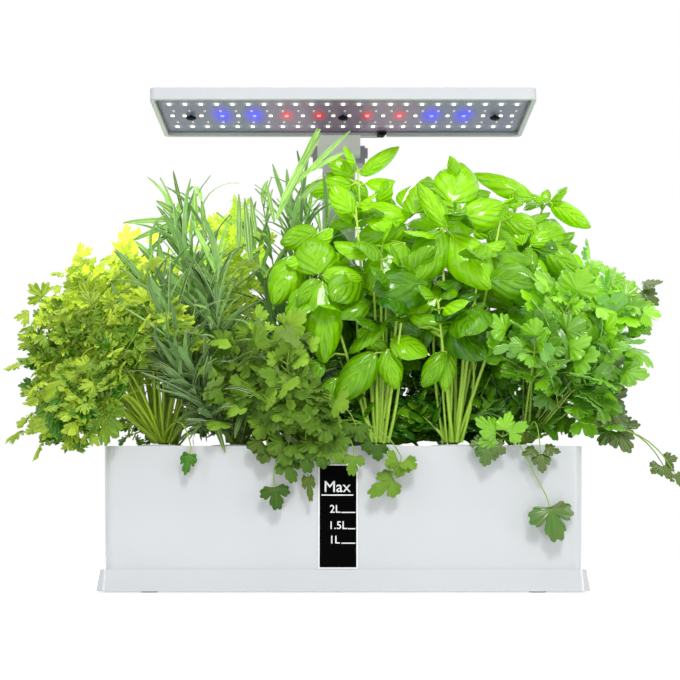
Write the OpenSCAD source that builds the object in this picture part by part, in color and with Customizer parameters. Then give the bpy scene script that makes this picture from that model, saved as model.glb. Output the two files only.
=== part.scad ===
// Countertop hydroponic garden: a water tank with twelve plant pods under a tilting grow lamp.
// Frame: X to the right, Y to the back, Z up. The origin is the middle of the base, on the table.

/* [Tank] */
// Width of the tank at its rim
tank_w = 360; // [330:1:420]
// Depth of the tank at its rim
tank_d = 135; // [130:1:160]
// Height of the tank walls above the base plinth
tank_h = 91; // [85:1:130]
// How far each wall leans in from the rim to the floor
tank_draft = 3; // [0.5:0.5:5]
// Radius of the tank's upright corners at the rim
tank_corner_r = 10; // [6:1:16]
// Thickness of the tank walls
tank_wall = 2.5; // [2.2:0.1:3.5]
// Thickness of the tank floor
tank_floor = 2.5; // [2:0.1:4]

/* [Base plinth] */
// Height of the plinth, from the feet's soles to the tank
plinth_h = 17; // [14:1:26]
// How far the plinth stands out past the tank at its top
plinth_step = 3.5; // [2:0.5:8]
// How far the plinth flares out from its top to its bottom
plinth_flare = 2.5; // [1:0.5:5]
// Wall of the plinth
plinth_wall = 2.4; // [1.6:0.1:3.5]
// Diameter of a rubber foot
foot_d = 14; // [10:1:18]
// How far the feet lift the plinth off the table
foot_gap = 1; // [0.5:0.5:3]

/* [Water window] */
// Width of the dark window strip
window_w = 27.3; // [20:0.1:40]
// Height of the dark window strip
window_h = 75; // [50:1:80]
// Sideways place of the window's middle
window_x = -4; // [-10:1:10]
// Thickness of the window strip
window_t = 1.5; // [1:0.1:2.5]
// Width of the bezel around the strip
bezel_w = 1.2; // [0.8:0.1:4]

/* [Planting deck] */
// Thickness of the deck
deck_t = 2.5; // [2:0.1:4]
// Distance between two pods in a row
pod_pitch = 56; // [50:1:60]
// Distance between the two rows
row_pitch = 52; // [46:1:56]
// Diameter of a pod basket under its flange
basket_d = 31; // [26:0.5:34]
// Depth of a pod basket
basket_h = 45; // [30:1:50]
// Diameter of a basket's flange and its cap
cap_d = 38; // [36:0.5:42]
// Length of the filler flap
flap_w = 38; // [26:1:46]

/* [Lamp] */
// Width of the lamp
lamp_w = 308; // [260:1:340]
// Depth of the lamp
lamp_d = 100; // [80:1:130]
// Height of the lamp's side
lamp_h = 9.5; // [8:0.5:16]
// Radius of the lamp's corners
lamp_corner_r = 5; // [2:0.5:12]
// How deep the LED board lies behind the lamp's lower rim
board_recess = 3; // [2.4:0.1:4]
// Highest tilt of the lamp
tilt_max = 90; // [30:1:90]

/* [Mast] */
// Width of the sliding inner mast
mast_w = 28.5; // [20:0.5:34]
// Depth of the sliding inner mast
mast_d = 10; // [8:0.5:14]
// Sideways place of the mast's middle
mast_x = -3.5; // [-10:0.5:10]
// Length of the fixed outer mast above the deck
mast_outer_h = 130; // [100:1:150]
// How far the lamp can be pulled up
mast_lift = 70; // [20:1:75]
// Width of the hinge block that carries the lamp
hinge_block_w = 37; // [24:1:50]
// Thickness of each ear of the yoke
yoke_ear_t = 3.8; // [2.5:0.1:6]
// Diameter of the hinge pin
hinge_pin_d = 5; // [3:0.5:6]

/* [Pump] */
// Width of the pump's body
pump_w = 42; // [36:1:50]
// Diameter of the impeller
impeller_d = 17; // [12:0.5:19]

/* [Plants] */
// Height of the tallest plant above the deck
plant_h = 254; // [180:1:300]
// Clear height between the tallest plant and the lamp
lamp_gap = 24; // [20:1:80]
// Thickness of the leaves
leaf_t = 1.2; // [0.8:0.1:2]
// Length of a large basil leaf
basil_leaf = 46; // [30:1:55]
// Length of a tarragon leaf
tarragon_leaf = 46; // [30:1:55]
// Length of a parsley leaflet
parsley_leaf = 34; // [20:1:44]
// Length of a coriander leaflet
coriander_leaf = 30; // [18:1:40]

/* [Hidden] */
// Clearance between plastic pieces that lie against each other
fit = 0.1;
// Running clearance of a pin or a sliding face, on each side
run = 0.05;
// Clearance around soft pieces
soft = 0.3;
// How far a cutting shape reaches past what it cuts
past = 1;

// Levels, from the table up
plinth_z = foot_gap;
tank_z = plinth_h;
rim_z = tank_z + tank_h;
deck_z = rim_z - 1;
deck_under = deck_z - deck_t;
tank_inside_z = tank_z + tank_floor;
wall_lean = atan(tank_draft / tank_h);

// Pods: six columns and two rows, in front of the mast
column_x = [for (i = [0:5]) (i - 2.5) * pod_pitch];
row_mid = -11;
row_y = [row_mid - row_pitch / 2, row_mid + row_pitch / 2];
basket_wall = 1.2;
flange_t = 1.5;
cap_t = 1.5;
cap_hole_d = 16;
cap_top = deck_z + flange_t + cap_t;

// Mast and hinge
mast_wall = 1.6;
outer_w = mast_w + 2 * (mast_wall + 0.7);
outer_d = mast_d + 2 * (mast_wall + 0.4);
socket_h = 40;
socket_wall = 2;
mast_y = tank_d / 2 - tank_wall - tank_draft - 0.5 - socket_wall - outer_d / 2;
outer_z0 = deck_under - socket_h + socket_wall;
outer_top = deck_z + mast_outer_h;
bush_h = 14;
lamp_z = deck_z + plant_h + lamp_gap;
hinge_drop = 14;
hinge_z = lamp_z - hinge_drop;
hinge_y = mast_y + 1;
block_r = 8;
ear_r = 6.5;
yoke_web_top = hinge_z - block_r - 0.4;
yoke_web_h = 3;
yoke_neck = 26;
inner_top = yoke_web_top - yoke_web_h;
inner_keep = 34;
inner_z0 = outer_top - inner_keep - mast_lift;
mast_drop = 15;

// Lamp
lamp_rear_y = hinge_y - 1.5;
lamp_y = lamp_rear_y - lamp_d / 2;
lamp_wall = 2.2;
lamp_roof = 1.8;
board_t = 1.6;
cover_t = 1;
led_side = 2.8;
led_t = 0.9;
rim_w = 3.4;
board_z = lamp_z + board_recess;
cover_z = board_z - led_t - 0.2 - cover_t;
led_pitch = 12.8;
led_row_pitch = 29;
lamp_screw_x = 126;
grommet_x = mast_x + 37;

// Control box on the deck, around the mast
box_w = 96;
box_d = 23;
box_h = 22;
box_wall = 1.8;
box_y = mast_y - outer_d / 2 - 2.5;
pad_h = rim_z + 0.2 - deck_z;
box_z = deck_z + pad_h;
button_x = mast_x + box_w / 2 - 15;
button_d = 11;
button_travel = 1.2;
jack_d = 8;
jack_x = mast_x - box_w / 2 + 22;
light_x = mast_x - box_w / 2 + 9;
jack_z = 11.5;

// Filler flap
flap_x = 2 * pod_pitch + 4;
flap_y0 = box_y + 1;
flap_y1 = flap_y0 + 16;
flap_t = 2;
flap_pin_d = 2;
flap_pin_y = flap_y1 + 1.5;
flap_pin_z = deck_z + 3;

// Pump
pump_x = 1.5 * pod_pitch + 8;
pump_y = 12;
pump_d = 30;
pump_h = 26;
pump_foot_h = 4;
pump_z = tank_inside_z + pump_foot_h;
chamber_r = impeller_d / 2 + 1.5;
chamber_l = 12;
pump_shaft_d = 2;
pump_cover_t = 2.5;
pump_axis_z = pump_z + pump_h / 2;
outlet_d = 8;

// ---------------------------------------------------------------- shapes that repeat

module rounded_plate(w, d, r, h) {
    linear_extrude(h) rounded_outline(w, d, r);
}

module rounded_outline(w, d, r) {
    union() {
        square([w - 2 * r, d], center = true);
        square([w, d - 2 * r], center = true);
        for (sx = [-1, 1], sy = [-1, 1])
            translate([sx * (w / 2 - r), sy * (d / 2 - r)]) circle(r = r, $fn = 48);
    }
}

// A box whose four walls lean, between a lower and an upper rounded outline
module leaning_box(w0, d0, r0, w1, d1, r1, h) {
    hull() {
        for (sx = [-1, 1], sy = [-1, 1]) {
            translate([sx * (w0 / 2 - r0), sy * (d0 / 2 - r0), 0]) cylinder(r1 = r0, r2 = r1, h = h, $fn = 48);
        }
    }
}

module at_pods() {
    for (x = column_x, y = row_y) translate([x, y, 0]) children();
}

// The window's own frame: on the front wall's face, Z up along the wall, -Y out of it
module on_front_wall() {
    translate([window_x, -tank_d / 2 + tank_draft, tank_z]) rotate([wall_lean, 0, 0]) children();
}

module rod(a, b, r, sides = 4) {
    way = b - a;
    translate(a) rotate([0, acos(way.z / norm(way)), atan2(way.y, way.x)])
        cylinder(h = norm(way), r = r, $fn = sides);
}

// ---------------------------------------------------------------- base and tank

plinth_top_w = tank_w - 2 * tank_draft + 2 * plinth_step;
plinth_top_d = tank_d - 2 * tank_draft + 2 * plinth_step;
plinth_r = tank_corner_r;
screw_places = [for (sx = [-1, 1], i = [0:1], sy = [-1, 1])
    [sx * (plinth_top_w / 2 - 14 - i * 110), sy * (plinth_top_d / 2 - 12)]];

module base_plinth() color("white") {
    difference() {
        union() {
            difference() {
                translate([0, 0, plinth_z]) leaning_box(
                    plinth_top_w + 2 * plinth_flare, plinth_top_d + 2 * plinth_flare, plinth_r,
                    plinth_top_w, plinth_top_d, plinth_r - plinth_flare, plinth_h - plinth_z);
                translate([0, 0, plinth_z - past]) rounded_plate(plinth_top_w - 2 * plinth_wall,
                    plinth_top_d - 2 * plinth_wall, plinth_r - plinth_wall, plinth_h - plinth_wall - plinth_z + past);
                translate([0, 0, plinth_z]) rounded_plate(plinth_top_w - 40, plinth_top_d - 40, 6, plinth_h);
            }
            for (p = screw_places) translate([p.x, p.y, plinth_z + 2]) cylinder(d = 8, h = plinth_h - plinth_z - 3, $fn = 32);
            for (p = foot_places) translate([p.x, p.y, plinth_z]) cylinder(d = foot_d + 5, h = plinth_h - plinth_z - 1, $fn = 48);
        }
        for (p = screw_places) {
            translate([p.x, p.y, 0]) cylinder(d = 3.4, h = plinth_h + past, $fn = 24);
            translate([p.x, p.y, 0]) cylinder(d = 6.2, h = plinth_h - 6, $fn = 32);
        }
        for (p = foot_places) translate([p.x, p.y, plinth_z - past]) cylinder(d = foot_d + 2 * fit, h = 3 + past, $fn = 48);
    }
}

foot_places = [for (sx = [-1, 1], sy = [-1, 1]) [sx * (plinth_top_w / 2 - 36), sy * (plinth_top_d / 2 - 13)]];

module base_feet() color("dimgray") {
    for (p = foot_places) translate([p.x, p.y, 0]) {
        cylinder(d1 = foot_d - 2, d2 = foot_d, h = 1, $fn = 48);
        translate([0, 0, 1]) cylinder(d = foot_d, h = plinth_z + 2, $fn = 48);
    }
}

module base_screws() color("silver") {
    for (p = screw_places) translate([p.x, p.y, 0]) {
        translate([0, 0, plinth_h - 6 - 2.2]) cylinder(d = 5.8, h = 2.2, $fn = 32);
        translate([0, 0, plinth_h - 6]) cylinder(d = 3, h = 6 + tank_floor - 0.5, $fn = 24);
    }
}

ledge_w = 3;
ledge_t = 2.5;

module tank() color("white") {
    difference() {
        union() {
            difference() {
                translate([0, 0, tank_z]) leaning_box(tank_w - 2 * tank_draft, tank_d - 2 * tank_draft,
                    tank_corner_r - tank_draft, tank_w, tank_d, tank_corner_r, tank_h);
                translate([0, 0, tank_inside_z]) leaning_box(
                    tank_w - 2 * tank_draft - 2 * tank_wall, tank_d - 2 * tank_draft - 2 * tank_wall,
                    tank_corner_r - tank_draft - tank_wall, tank_w - 2 * tank_wall + 0.12, tank_d - 2 * tank_wall + 0.12,
                    tank_corner_r - tank_wall + 0.06, tank_h - tank_floor + 2);
            }
            translate([0, 0, deck_under - ledge_t]) difference() {
                rounded_plate(tank_w - tank_wall - 1, tank_d - tank_wall - 1, tank_corner_r - tank_wall, ledge_t);
                translate([0, 0, -past]) rounded_plate(tank_w - 2 * tank_wall - 2 * ledge_w,
                    tank_d - 2 * tank_wall - 2 * ledge_w, tank_corner_r - tank_wall - 1, ledge_t + 2 * past);
            }
            for (p = screw_places) translate([p.x, p.y, tank_z]) cylinder(d = 9, h = tank_floor + 3, $fn = 32);
        }
        for (p = screw_places) translate([p.x, p.y, tank_z - past]) cylinder(d = 3, h = past + tank_floor - 0.5, $fn = 24);
        on_front_wall() {
            translate([-frame_w / 2, -past, window_z0]) cube([frame_w, past + window_bed, frame_h]);
            translate([-(window_w / 2 - 4), -past, window_z0 + bezel_w + 4]) cube([window_w - 8, tank_wall + 3, window_h - 8]);
        }
    }
}

// The window: a bed in the wall holds the seal, the strip and the bezel around it
window_z0 = 0.2;
window_bed = 1.6;
seal_t = 0.5;
window_proud = 0.3;
frame_w = window_w + 2 * bezel_w;
frame_h = window_h + 2 * bezel_w;

module window_seal() color("gray") {
    on_front_wall() translate([0, window_bed - seal_t, window_z0 + bezel_w]) difference() {
        translate([-window_w / 2 + fit, 0, fit]) cube([window_w - 2 * fit, seal_t, window_h - 2 * fit]);
        translate([-window_w / 2 + 3.5, -past, 3.5]) cube([window_w - 7, 3, window_h - 7]);
    }
}

module water_window() color([0.06, 0.06, 0.07]) {
    on_front_wall() translate([-window_w / 2 + fit, -window_proud, window_z0 + bezel_w + fit])
        cube([window_w - 2 * fit, window_bed - seal_t + window_proud, window_h - 2 * fit]);
}

module window_bezel() color("white") {
    on_front_wall() translate([0, -0.8, window_z0]) difference() {
        translate([-frame_w / 2 + fit, 0, fit]) cube([frame_w - 2 * fit, 0.8 + window_bed, frame_h - 2 * fit]);
        translate([-window_w / 2, -past, bezel_w]) cube([window_w, 5, window_h]);
    }
}

// ---------------------------------------------------------------- planting deck

deck_w = tank_w - 2 * tank_wall - 2 * soft;
deck_d = tank_d - 2 * tank_wall - 2 * soft;

module deck() color("white") {
    difference() {
        union() {
            translate([0, 0, deck_under]) rounded_plate(deck_w, deck_d, tank_corner_r - tank_wall, deck_t);
            translate([mast_x - box_w / 2, box_y, deck_z - 1]) cube([box_w, deck_d / 2 - box_y - 0.5, pad_h + 1]);
            for (s = [-1, 1]) translate([flap_x + s * (flap_w / 2 + 2) - 1.5, flap_pin_y - 2.5, deck_z - 0.5])
                cube([3, 5, 0.5 + flap_pin_z - deck_z + 2.2]);
        }
        at_pods() translate([0, 0, deck_under - past]) cylinder(d = basket_d + 1, h = deck_t + 2 * past, $fn = 64);
        translate([mast_x - outer_w / 2 - fit, mast_y - outer_d / 2 - fit, deck_under - past])
            cube([outer_w + 2 * fit, outer_d + 2 * fit, deck_t + pad_h + 2 * past]);
        translate([flap_x - flap_w / 2 + 4, flap_y0 + 2, deck_under - past])
            cube([flap_w - 8, flap_y1 - flap_y0 - 3.5, deck_t + 2 * past]);
        translate([flap_x - flap_w, flap_pin_y, flap_pin_z]) rotate([0, 90, 0])
            cylinder(d = flap_pin_d, h = 2 * flap_w, $fn = 24);
        translate([mast_x + box_w / 2 - 14, mast_y, deck_under - past]) cylinder(d = 5, h = deck_t + pad_h + 2 * past, $fn = 24);
    }
}

module filler_flap() color("white") {
    difference() {
        union() {
            translate([flap_x - flap_w / 2, flap_y0, deck_z + fit])
                cube([flap_w, flap_pin_y - flap_y0, flap_t]);
            translate([flap_x - flap_w / 2, flap_pin_y, flap_pin_z]) rotate([0, 90, 0])
                cylinder(d = 5, h = flap_w, $fn = 32);
            translate([flap_x - 6, flap_y0 - 2.5, deck_z + fit + 0.6]) cube([12, 4, flap_t - 0.6]);
        }
        translate([flap_x - flap_w / 2 - past, flap_pin_y, flap_pin_z]) rotate([0, 90, 0])
            cylinder(d = flap_pin_d + 2 * run, h = flap_w + 2 * past, $fn = 24);
    }
}

module flap_pin() color("silver") {
    translate([flap_x - flap_w / 2 - 3.5, flap_pin_y, flap_pin_z]) rotate([0, 90, 0])
        cylinder(d = flap_pin_d, h = flap_w + 7, $fn = 24);
}

module basket() {
    difference() {
        union() {
            translate([0, 0, deck_z]) cylinder(d = cap_d, h = flange_t, $fn = 64);
            translate([0, 0, deck_z + flange_t - basket_h]) cylinder(d = basket_d, h = basket_h, $fn = 64);
        }
        translate([0, 0, deck_z + flange_t - basket_h + basket_wall])
            cylinder(d = basket_d - 2 * basket_wall, h = basket_h, $fn = 64);
        for (a = [0:60:120]) rotate([0, 0, a])
            translate([-basket_d, -2, deck_z - basket_h + 8]) cube([2 * basket_d, 4, basket_h - 18]);
    }
}

module pod_baskets() color("white") {
    for (column = [0:4], y = row_y) translate([column_x[column], y, 0]) basket();
}

// The two baskets beside the filler hole
module end_basket_front() color("white") translate([column_x[5], row_y[0], 0]) basket();

module end_basket_rear() color("white") translate([column_x[5], row_y[1], 0]) basket();

sponge_top = deck_z + flange_t - soft;

module pod_sponges() color("saddlebrown") {
    at_pods() translate([0, 0, deck_z + flange_t - basket_h + basket_wall])
        cylinder(d = basket_d - 2 * basket_wall - 2 * soft, h = sponge_top - (deck_z + flange_t - basket_h + basket_wall), $fn = 48);
}

module pod_caps() color("whitesmoke") {
    at_pods() translate([0, 0, deck_z + flange_t]) difference() {
        cylinder(d = cap_d, h = cap_t, $fn = 64);
        translate([0, 0, -past]) cylinder(d = cap_hole_d, h = cap_t + 2 * past, $fn = 48);
    }
}

// ---------------------------------------------------------------- mast and control box

module tube(w, d, wall, h) {
    difference() {
        rounded_plate(w, d, 2.5, h);
        translate([0, 0, -past]) rounded_plate(w - 2 * wall, d - 2 * wall, 1.2, h + 2 * past);
    }
}

module at_mast(z) {
    translate([mast_x, mast_y, z]) children();
}

module mast_socket() color("white") {
    at_mast(deck_under - socket_h) {
        rounded_plate(outer_w + 2 * socket_wall, outer_d + 2 * socket_wall, 3, socket_wall - fit);
        tube(outer_w + 2 * socket_wall, outer_d + 2 * socket_wall, socket_wall - fit, socket_h - fit);
    }
}

module mast_outer() color("gainsboro") {
    at_mast(outer_z0) tube(outer_w, outer_d, mast_wall, outer_top - outer_z0);
}

module mast_bush() color("gray") {
    at_mast(outer_top - bush_h) difference() {
        union() {
            rounded_plate(outer_w - 2 * mast_wall - 2 * run, outer_d - 2 * mast_wall - 2 * run, 1.2, bush_h);
            translate([0, 0, bush_h]) rounded_plate(outer_w + 1.6, outer_d + 1.6, 3, 3);
        }
        translate([0, 0, -past]) rounded_plate(mast_w + 2 * run, mast_d + 2 * run, 2, bush_h + 3 + 2 * past);
    }
}

module mast_inner() color([0.76, 0.75, 0.8]) {
    at_mast(inner_z0) difference() {
        rounded_plate(mast_w, mast_d, 2, inner_top - inner_z0);
        translate([0, 0, -past]) rounded_plate(mast_w - 2 * mast_wall, mast_d - 2 * mast_wall, 1, inner_top - inner_z0 + 2 * past);
    }
}

module mast_glide() color("gray") {
    at_mast(inner_z0) {
        translate([0, 0, -4]) rounded_plate(outer_w - 2 * mast_wall - 2 * run, outer_d - 2 * mast_wall - 2 * run, 1.2, 4);
        rounded_plate(mast_w - 2 * mast_wall - 2 * fit, mast_d - 2 * mast_wall - 2 * fit, 0.9, 10);
    }
}

module control_box() color("white") {
    difference() {
        translate([mast_x - box_w / 2, box_y, box_z]) cube([box_w, box_d, box_h]);
        translate([mast_x - box_w / 2 + box_wall, box_y + box_wall, box_z - past])
            cube([box_w - 2 * box_wall, box_d - 2 * box_wall, box_h - box_wall + past]);
        translate([mast_x - outer_w / 2 - fit, mast_y - outer_d / 2 - fit, box_z])
            cube([outer_w + 2 * fit, outer_d + 2 * fit, box_h + past]);
        translate([button_x, mast_y, box_z]) cylinder(d = button_d + 2 * run, h = box_h + past, $fn = 48);
        translate([light_x, mast_y, box_z]) cylinder(d = 3.2, h = box_h + past, $fn = 24);
        translate([jack_x, box_y + box_d / 2, box_z + jack_z]) rotate([-90, 0, 0]) cylinder(d = jack_d, h = box_d + past, $fn = 48);
    }
}

board_top = box_z + 4.6;

module control_board() color("darkgreen") {
    for (s = [-1, 1]) translate([mast_x + s * (outer_w / 4 + box_w / 4) - 12, box_y + box_wall + 0.4, board_top - 1.6])
        cube([24, box_d - 2 * box_wall - 0.8, 1.6]);
    for (s = [-1, 1]) for (e = [-1, 1]) translate([mast_x + s * (outer_w / 4 + box_w / 4) + e * 10 - 1, box_y + box_wall + 3, box_z])
        cube([2, box_d - 2 * box_wall - 6, board_top - 1.6 - box_z]);
}

button_low = box_z + box_h - box_wall - 2.5 - fit;

module power_button() color("gainsboro") {
    translate([button_x, mast_y, 0]) {
        translate([0, 0, button_low + 2]) cylinder(d = button_d, h = box_z + box_h + 1.4 - button_low - 2, $fn = 48);
        translate([0, 0, button_low]) cylinder(d = button_d + 3, h = 2.5, $fn = 48);
    }
}

module button_spring() color("silver") {
    translate([button_x, mast_y, board_top]) difference() {
        cylinder(d = 6, h = button_low - board_top - fit, $fn = 32);
        translate([0, 0, -past]) cylinder(d = 4.6, h = box_h, $fn = 32);
    }
}

module status_light() color("lime") {
    translate([light_x, mast_y, board_top]) {
        cylinder(d = 3, h = box_z + box_h + 0.6 - board_top, $fn = 24);
        cylinder(d = 4.6, h = 3, $fn = 24);
    }
}

module power_jack() color([0.1, 0.1, 0.1]) {
    translate([jack_x, box_y + box_d - box_wall - 9.5, box_z + jack_z]) rotate([-90, 0, 0]) difference() {
        union() {
            cylinder(d = jack_d - 2 * fit, h = 9.5 + box_wall + 0.6, $fn = 48);
            translate([0, 0, 6.3]) cylinder(d = jack_d + 3, h = 3, $fn = 48);
        }
        translate([0, 0, 2]) cylinder(d = 5.5, h = 12, $fn = 32);
    }
    translate([jack_x, box_y + box_d - box_wall - 8, box_z + jack_z]) rotate([-90, 0, 0]) cylinder(d = 2.1, h = 8.5, $fn = 24);
}

// ---------------------------------------------------------------- hinge and lamp

ear_gap = 0.15;
yoke_w = hinge_block_w + 2 * ear_gap + 2 * yoke_ear_t;

module hinge_bore(d) {
    translate([mast_x - yoke_w, hinge_y, hinge_z]) rotate([0, 90, 0]) cylinder(d = d, h = 2 * yoke_w, $fn = 48);
}

module yoke() color([0.5, 0.5, 0.55]) {
    difference() {
        union() {
            translate([mast_x - yoke_w / 2, hinge_y - block_r, inner_top]) cube([yoke_w, 2 * block_r, yoke_web_h]);
            for (s = [-1, 1]) translate([mast_x + s * (yoke_w - yoke_ear_t) / 2 - yoke_ear_t / 2, hinge_y, inner_top]) {
                translate([0, -ear_r, 0]) cube([yoke_ear_t, 2 * ear_r, hinge_z - inner_top]);
                translate([0, 0, hinge_z - inner_top]) rotate([0, 90, 0]) cylinder(r = ear_r, h = yoke_ear_t, $fn = 48);
            }
            at_mast(inner_top - yoke_neck) rounded_plate(mast_w - 2 * mast_wall - 2 * fit, mast_d - 2 * mast_wall - 2 * fit, 0.9, yoke_neck + 1);
        }
        hinge_bore(hinge_pin_d + 2 * run);
    }
}

module hinge_pin() color("silver") {
    intersection() {
        hinge_bore(hinge_pin_d);
        translate([mast_x - yoke_w / 2 - 0.2, hinge_y - 10, hinge_z - 10]) cube([yoke_w + 2.7, 20, 20]);
    }
    translate([mast_x - yoke_w / 2 - 2.2, hinge_y, hinge_z]) rotate([0, 90, 0]) cylinder(d = hinge_pin_d + 4, h = 2.1, $fn = 48);
}

module hinge_nut() color("silver") {
    translate([mast_x + yoke_w / 2 + 0.1, hinge_y, hinge_z]) rotate([0, 90, 0]) difference() {
        cylinder(d = hinge_pin_d + 4.5, h = 2.4, $fn = 6);
        translate([0, 0, -past]) cylinder(d = hinge_pin_d, h = 6, $fn = 48);
    }
}

block_slot = 1.6;

module hinge_block() color([0.74, 0.75, 0.78]) {
    difference() {
        union() {
            translate([mast_x - hinge_block_w / 2, hinge_y, hinge_z]) rotate([0, 90, 0]) cylinder(r = block_r, h = hinge_block_w, $fn = 64);
            translate([mast_x - hinge_block_w / 2, hinge_y - block_r, hinge_z]) cube([hinge_block_w, 2 * block_r, hinge_drop - fit]);
            translate([mast_x - hinge_block_w / 2, lamp_rear_y + fit, lamp_z - fit - 1])
                cube([hinge_block_w, hinge_y + block_r - lamp_rear_y - fit, lamp_h - 1]);
        }
        translate([mast_x - hinge_block_w, hinge_y - block_r - past, hinge_z + 3.2]) cube([2 * hinge_block_w, past + 0.8, block_slot]);
        hinge_bore(hinge_pin_d + 2 * run);
    }
}

inside_w = lamp_w - 2 * rim_w;
inside_d = lamp_d - 2 * rim_w;

module at_lamp(z) {
    translate([0, lamp_y, z]) children();
}

module lamp_housing() color("white") {
    difference() {
        at_lamp(lamp_z) rounded_plate(lamp_w, lamp_d, lamp_corner_r, lamp_h);
        at_lamp(lamp_z - past) rounded_plate(inside_w, inside_d, lamp_corner_r - 2, past + lamp_h - lamp_roof);
        translate([grommet_x - 4, lamp_rear_y - rim_w - 1, lamp_z - past]) cube([8, rim_w + 1 + past, past + lamp_h - lamp_roof]);
    }
    for (x = [-1, 0, 1]) translate([x * lamp_screw_x, lamp_y, board_z + board_t]) difference() {
        cylinder(d = 7, h = lamp_z + lamp_h - lamp_roof - board_z - board_t + 0.5, $fn = 32);
        translate([0, 0, -past]) cylinder(d = 3, h = 4 + past, $fn = 24);
    }
}

module grommet_notch() {
    translate([grommet_x - 4.5, inside_d / 2 - 5, -past]) cube([9, 6, 5]);
}

module led_board() color([0.55, 0.55, 0.6]) {
    at_lamp(board_z) difference() {
        rounded_plate(inside_w - 2 * fit, inside_d - 2 * fit, lamp_corner_r - 2, board_t);
        for (x = [-1, 0, 1]) translate([x * lamp_screw_x, 0, -past]) cylinder(d = 3.2, h = 2 * past + board_t, $fn = 24);
        grommet_notch();
    }
}

// The front and rear rows are white. The middle row has the blue, the red and the white ones.
row_x = [for (i = [-11:11]) i * led_pitch];
middle_step = led_pitch * 1.043;
middle_blue = [-7.5, -5.5, 5.5, 7.5];
middle_red = [-3.5, -1.5, 1.5, 3.5];
middle_white = [-10.6, -9.85, -8.8, -6.5, -4.5, -2.5, -0.6, 0.4, 2.5, 4.5, 6.5, 8.7, 9.8, 10.5];

module led(x, y) {
    at_lamp(board_z - led_t) translate([x - led_side / 2, y - led_side / 2, 0]) cube([led_side, led_side, led_t]);
}

module white_leds() color("lightyellow") {
    for (x = row_x) led(x, -led_row_pitch);
    for (x = row_x) led(x + (abs(x - grommet_x) < 7 ? 3 : 0), led_row_pitch);
    for (i = middle_white) led(i * middle_step, 0);
}

module blue_leds() color("blue") {
    for (i = middle_blue) led(i * middle_step, 0);
}

module red_leds() color("red") {
    for (i = middle_red) led(i * middle_step, 0);
}

module lamp_cover() color([0.9, 0.9, 0.95, 0.4]) {
    at_lamp(cover_z) difference() {
        rounded_plate(inside_w - 2 * fit, inside_d - 2 * fit, lamp_corner_r - 2, cover_t);
        for (x = [-1, 0, 1]) translate([x * lamp_screw_x, 0, -past]) cylinder(d = 3.2, h = 4, $fn = 24);
        grommet_notch();
    }
}

module lamp_screws() color([0.1, 0.1, 0.1]) {
    for (x = [-1, 0, 1]) translate([x * lamp_screw_x, lamp_y, 0]) {
        translate([0, 0, cover_z - 1.2]) cylinder(d = 6, h = 1.2, $fn = 32);
        translate([0, 0, cover_z]) cylinder(d = 2.8, h = board_z + board_t + 2.6 - cover_z, $fn = 24);
    }
}

grommet_z = lamp_z + 3.2;

module cable_grommet() color([0.08, 0.08, 0.08]) {
    translate([grommet_x, lamp_rear_y, grommet_z]) rotate([90, 0, 0]) {
        translate([0, 0, -2]) cylinder(d = 7, h = 1.8, $fn = 32);
        translate([0, 0, -0.3]) cylinder(d = 5.6, h = rim_w + 0.6, $fn = 32);
        translate([0, 0, rim_w + 0.2]) cylinder(d = 7, h = 4, $fn = 32);
    }
}

// The lamp's lead: from the grommet along the lamp's rear face into the hinge block
lead_d = 3.6;
lead_y = lamp_rear_y + 6;

module lamp_lead() color([0.1, 0.1, 0.1]) {
    translate([grommet_x, lamp_rear_y + 2, grommet_z]) rotate([-90, 0, 0]) cylinder(d = lead_d, h = 2, $fn = 24);
    translate([grommet_x - 2, lamp_rear_y + 4, grommet_z]) rotate_extrude(angle = 90, $fn = 48)
        translate([2, 0]) circle(d = lead_d - 0.1, $fn = 24);
    translate([mast_x + hinge_block_w / 2, lead_y, grommet_z]) rotate([0, 90, 0])
        cylinder(d = lead_d, h = grommet_x - 2 - mast_x - hinge_block_w / 2, $fn = 24);
}

// ---------------------------------------------------------------- pump

module at_pump() {
    translate([pump_x, pump_y, pump_z]) children();
}

module pump_body() color("dimgray") {
    at_pump() difference() {
        union() {
            translate([-pump_w / 2, 0, 0]) cube([pump_w, pump_d, pump_h]);
            translate([-pump_w / 2 + 9, 12, pump_h - 1]) cylinder(d = outlet_d + 4, h = 5, $fn = 32);
        }
        translate([0, -past, pump_h / 2]) rotate([-90, 0, 0]) cylinder(r = chamber_r, h = chamber_l + past, $fn = 64);
        translate([0, -past, pump_h / 2]) rotate([-90, 0, 0]) cylinder(d = pump_shaft_d, h = chamber_l + 6, $fn = 24);
        translate([-pump_w / 2 + 9, 12, pump_h / 2]) cylinder(d = outlet_d, h = pump_h, $fn = 32);
    }
}

module pump_cover() color("gray") {
    at_pump() difference() {
        translate([-pump_w / 2, -pump_cover_t - fit, 0]) cube([pump_w, pump_cover_t, pump_h]);
        for (a = [0:45:315]) translate([5.5 * cos(a), -10, pump_h / 2 + 5.5 * sin(a)]) rotate([-90, 0, 0])
            cylinder(d = 2.4, h = 12, $fn = 24);
        translate([0, -1.6, pump_h / 2]) rotate([-90, 0, 0]) cylinder(d = pump_shaft_d, h = 12, $fn = 24);
    }
}

module impeller() color("royalblue") {
    at_pump() translate([0, 0.6, pump_h / 2]) rotate([-90, 0, 0]) difference() {
        union() {
            cylinder(d = 7, h = chamber_l - 1.2, $fn = 48);
            for (a = [0:60:300]) rotate([0, 0, a]) translate([0, -0.8, 0]) cube([impeller_d / 2, 1.6, 7]);
        }
        translate([0, 0, -past]) cylinder(d = pump_shaft_d + 2 * run, h = 20, $fn = 24);
    }
}

module pump_shaft() color("whitesmoke") {
    at_pump() translate([0, -1.6, pump_h / 2]) rotate([-90, 0, 0]) cylinder(d = pump_shaft_d, h = chamber_l + 6, $fn = 24);
}

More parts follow.
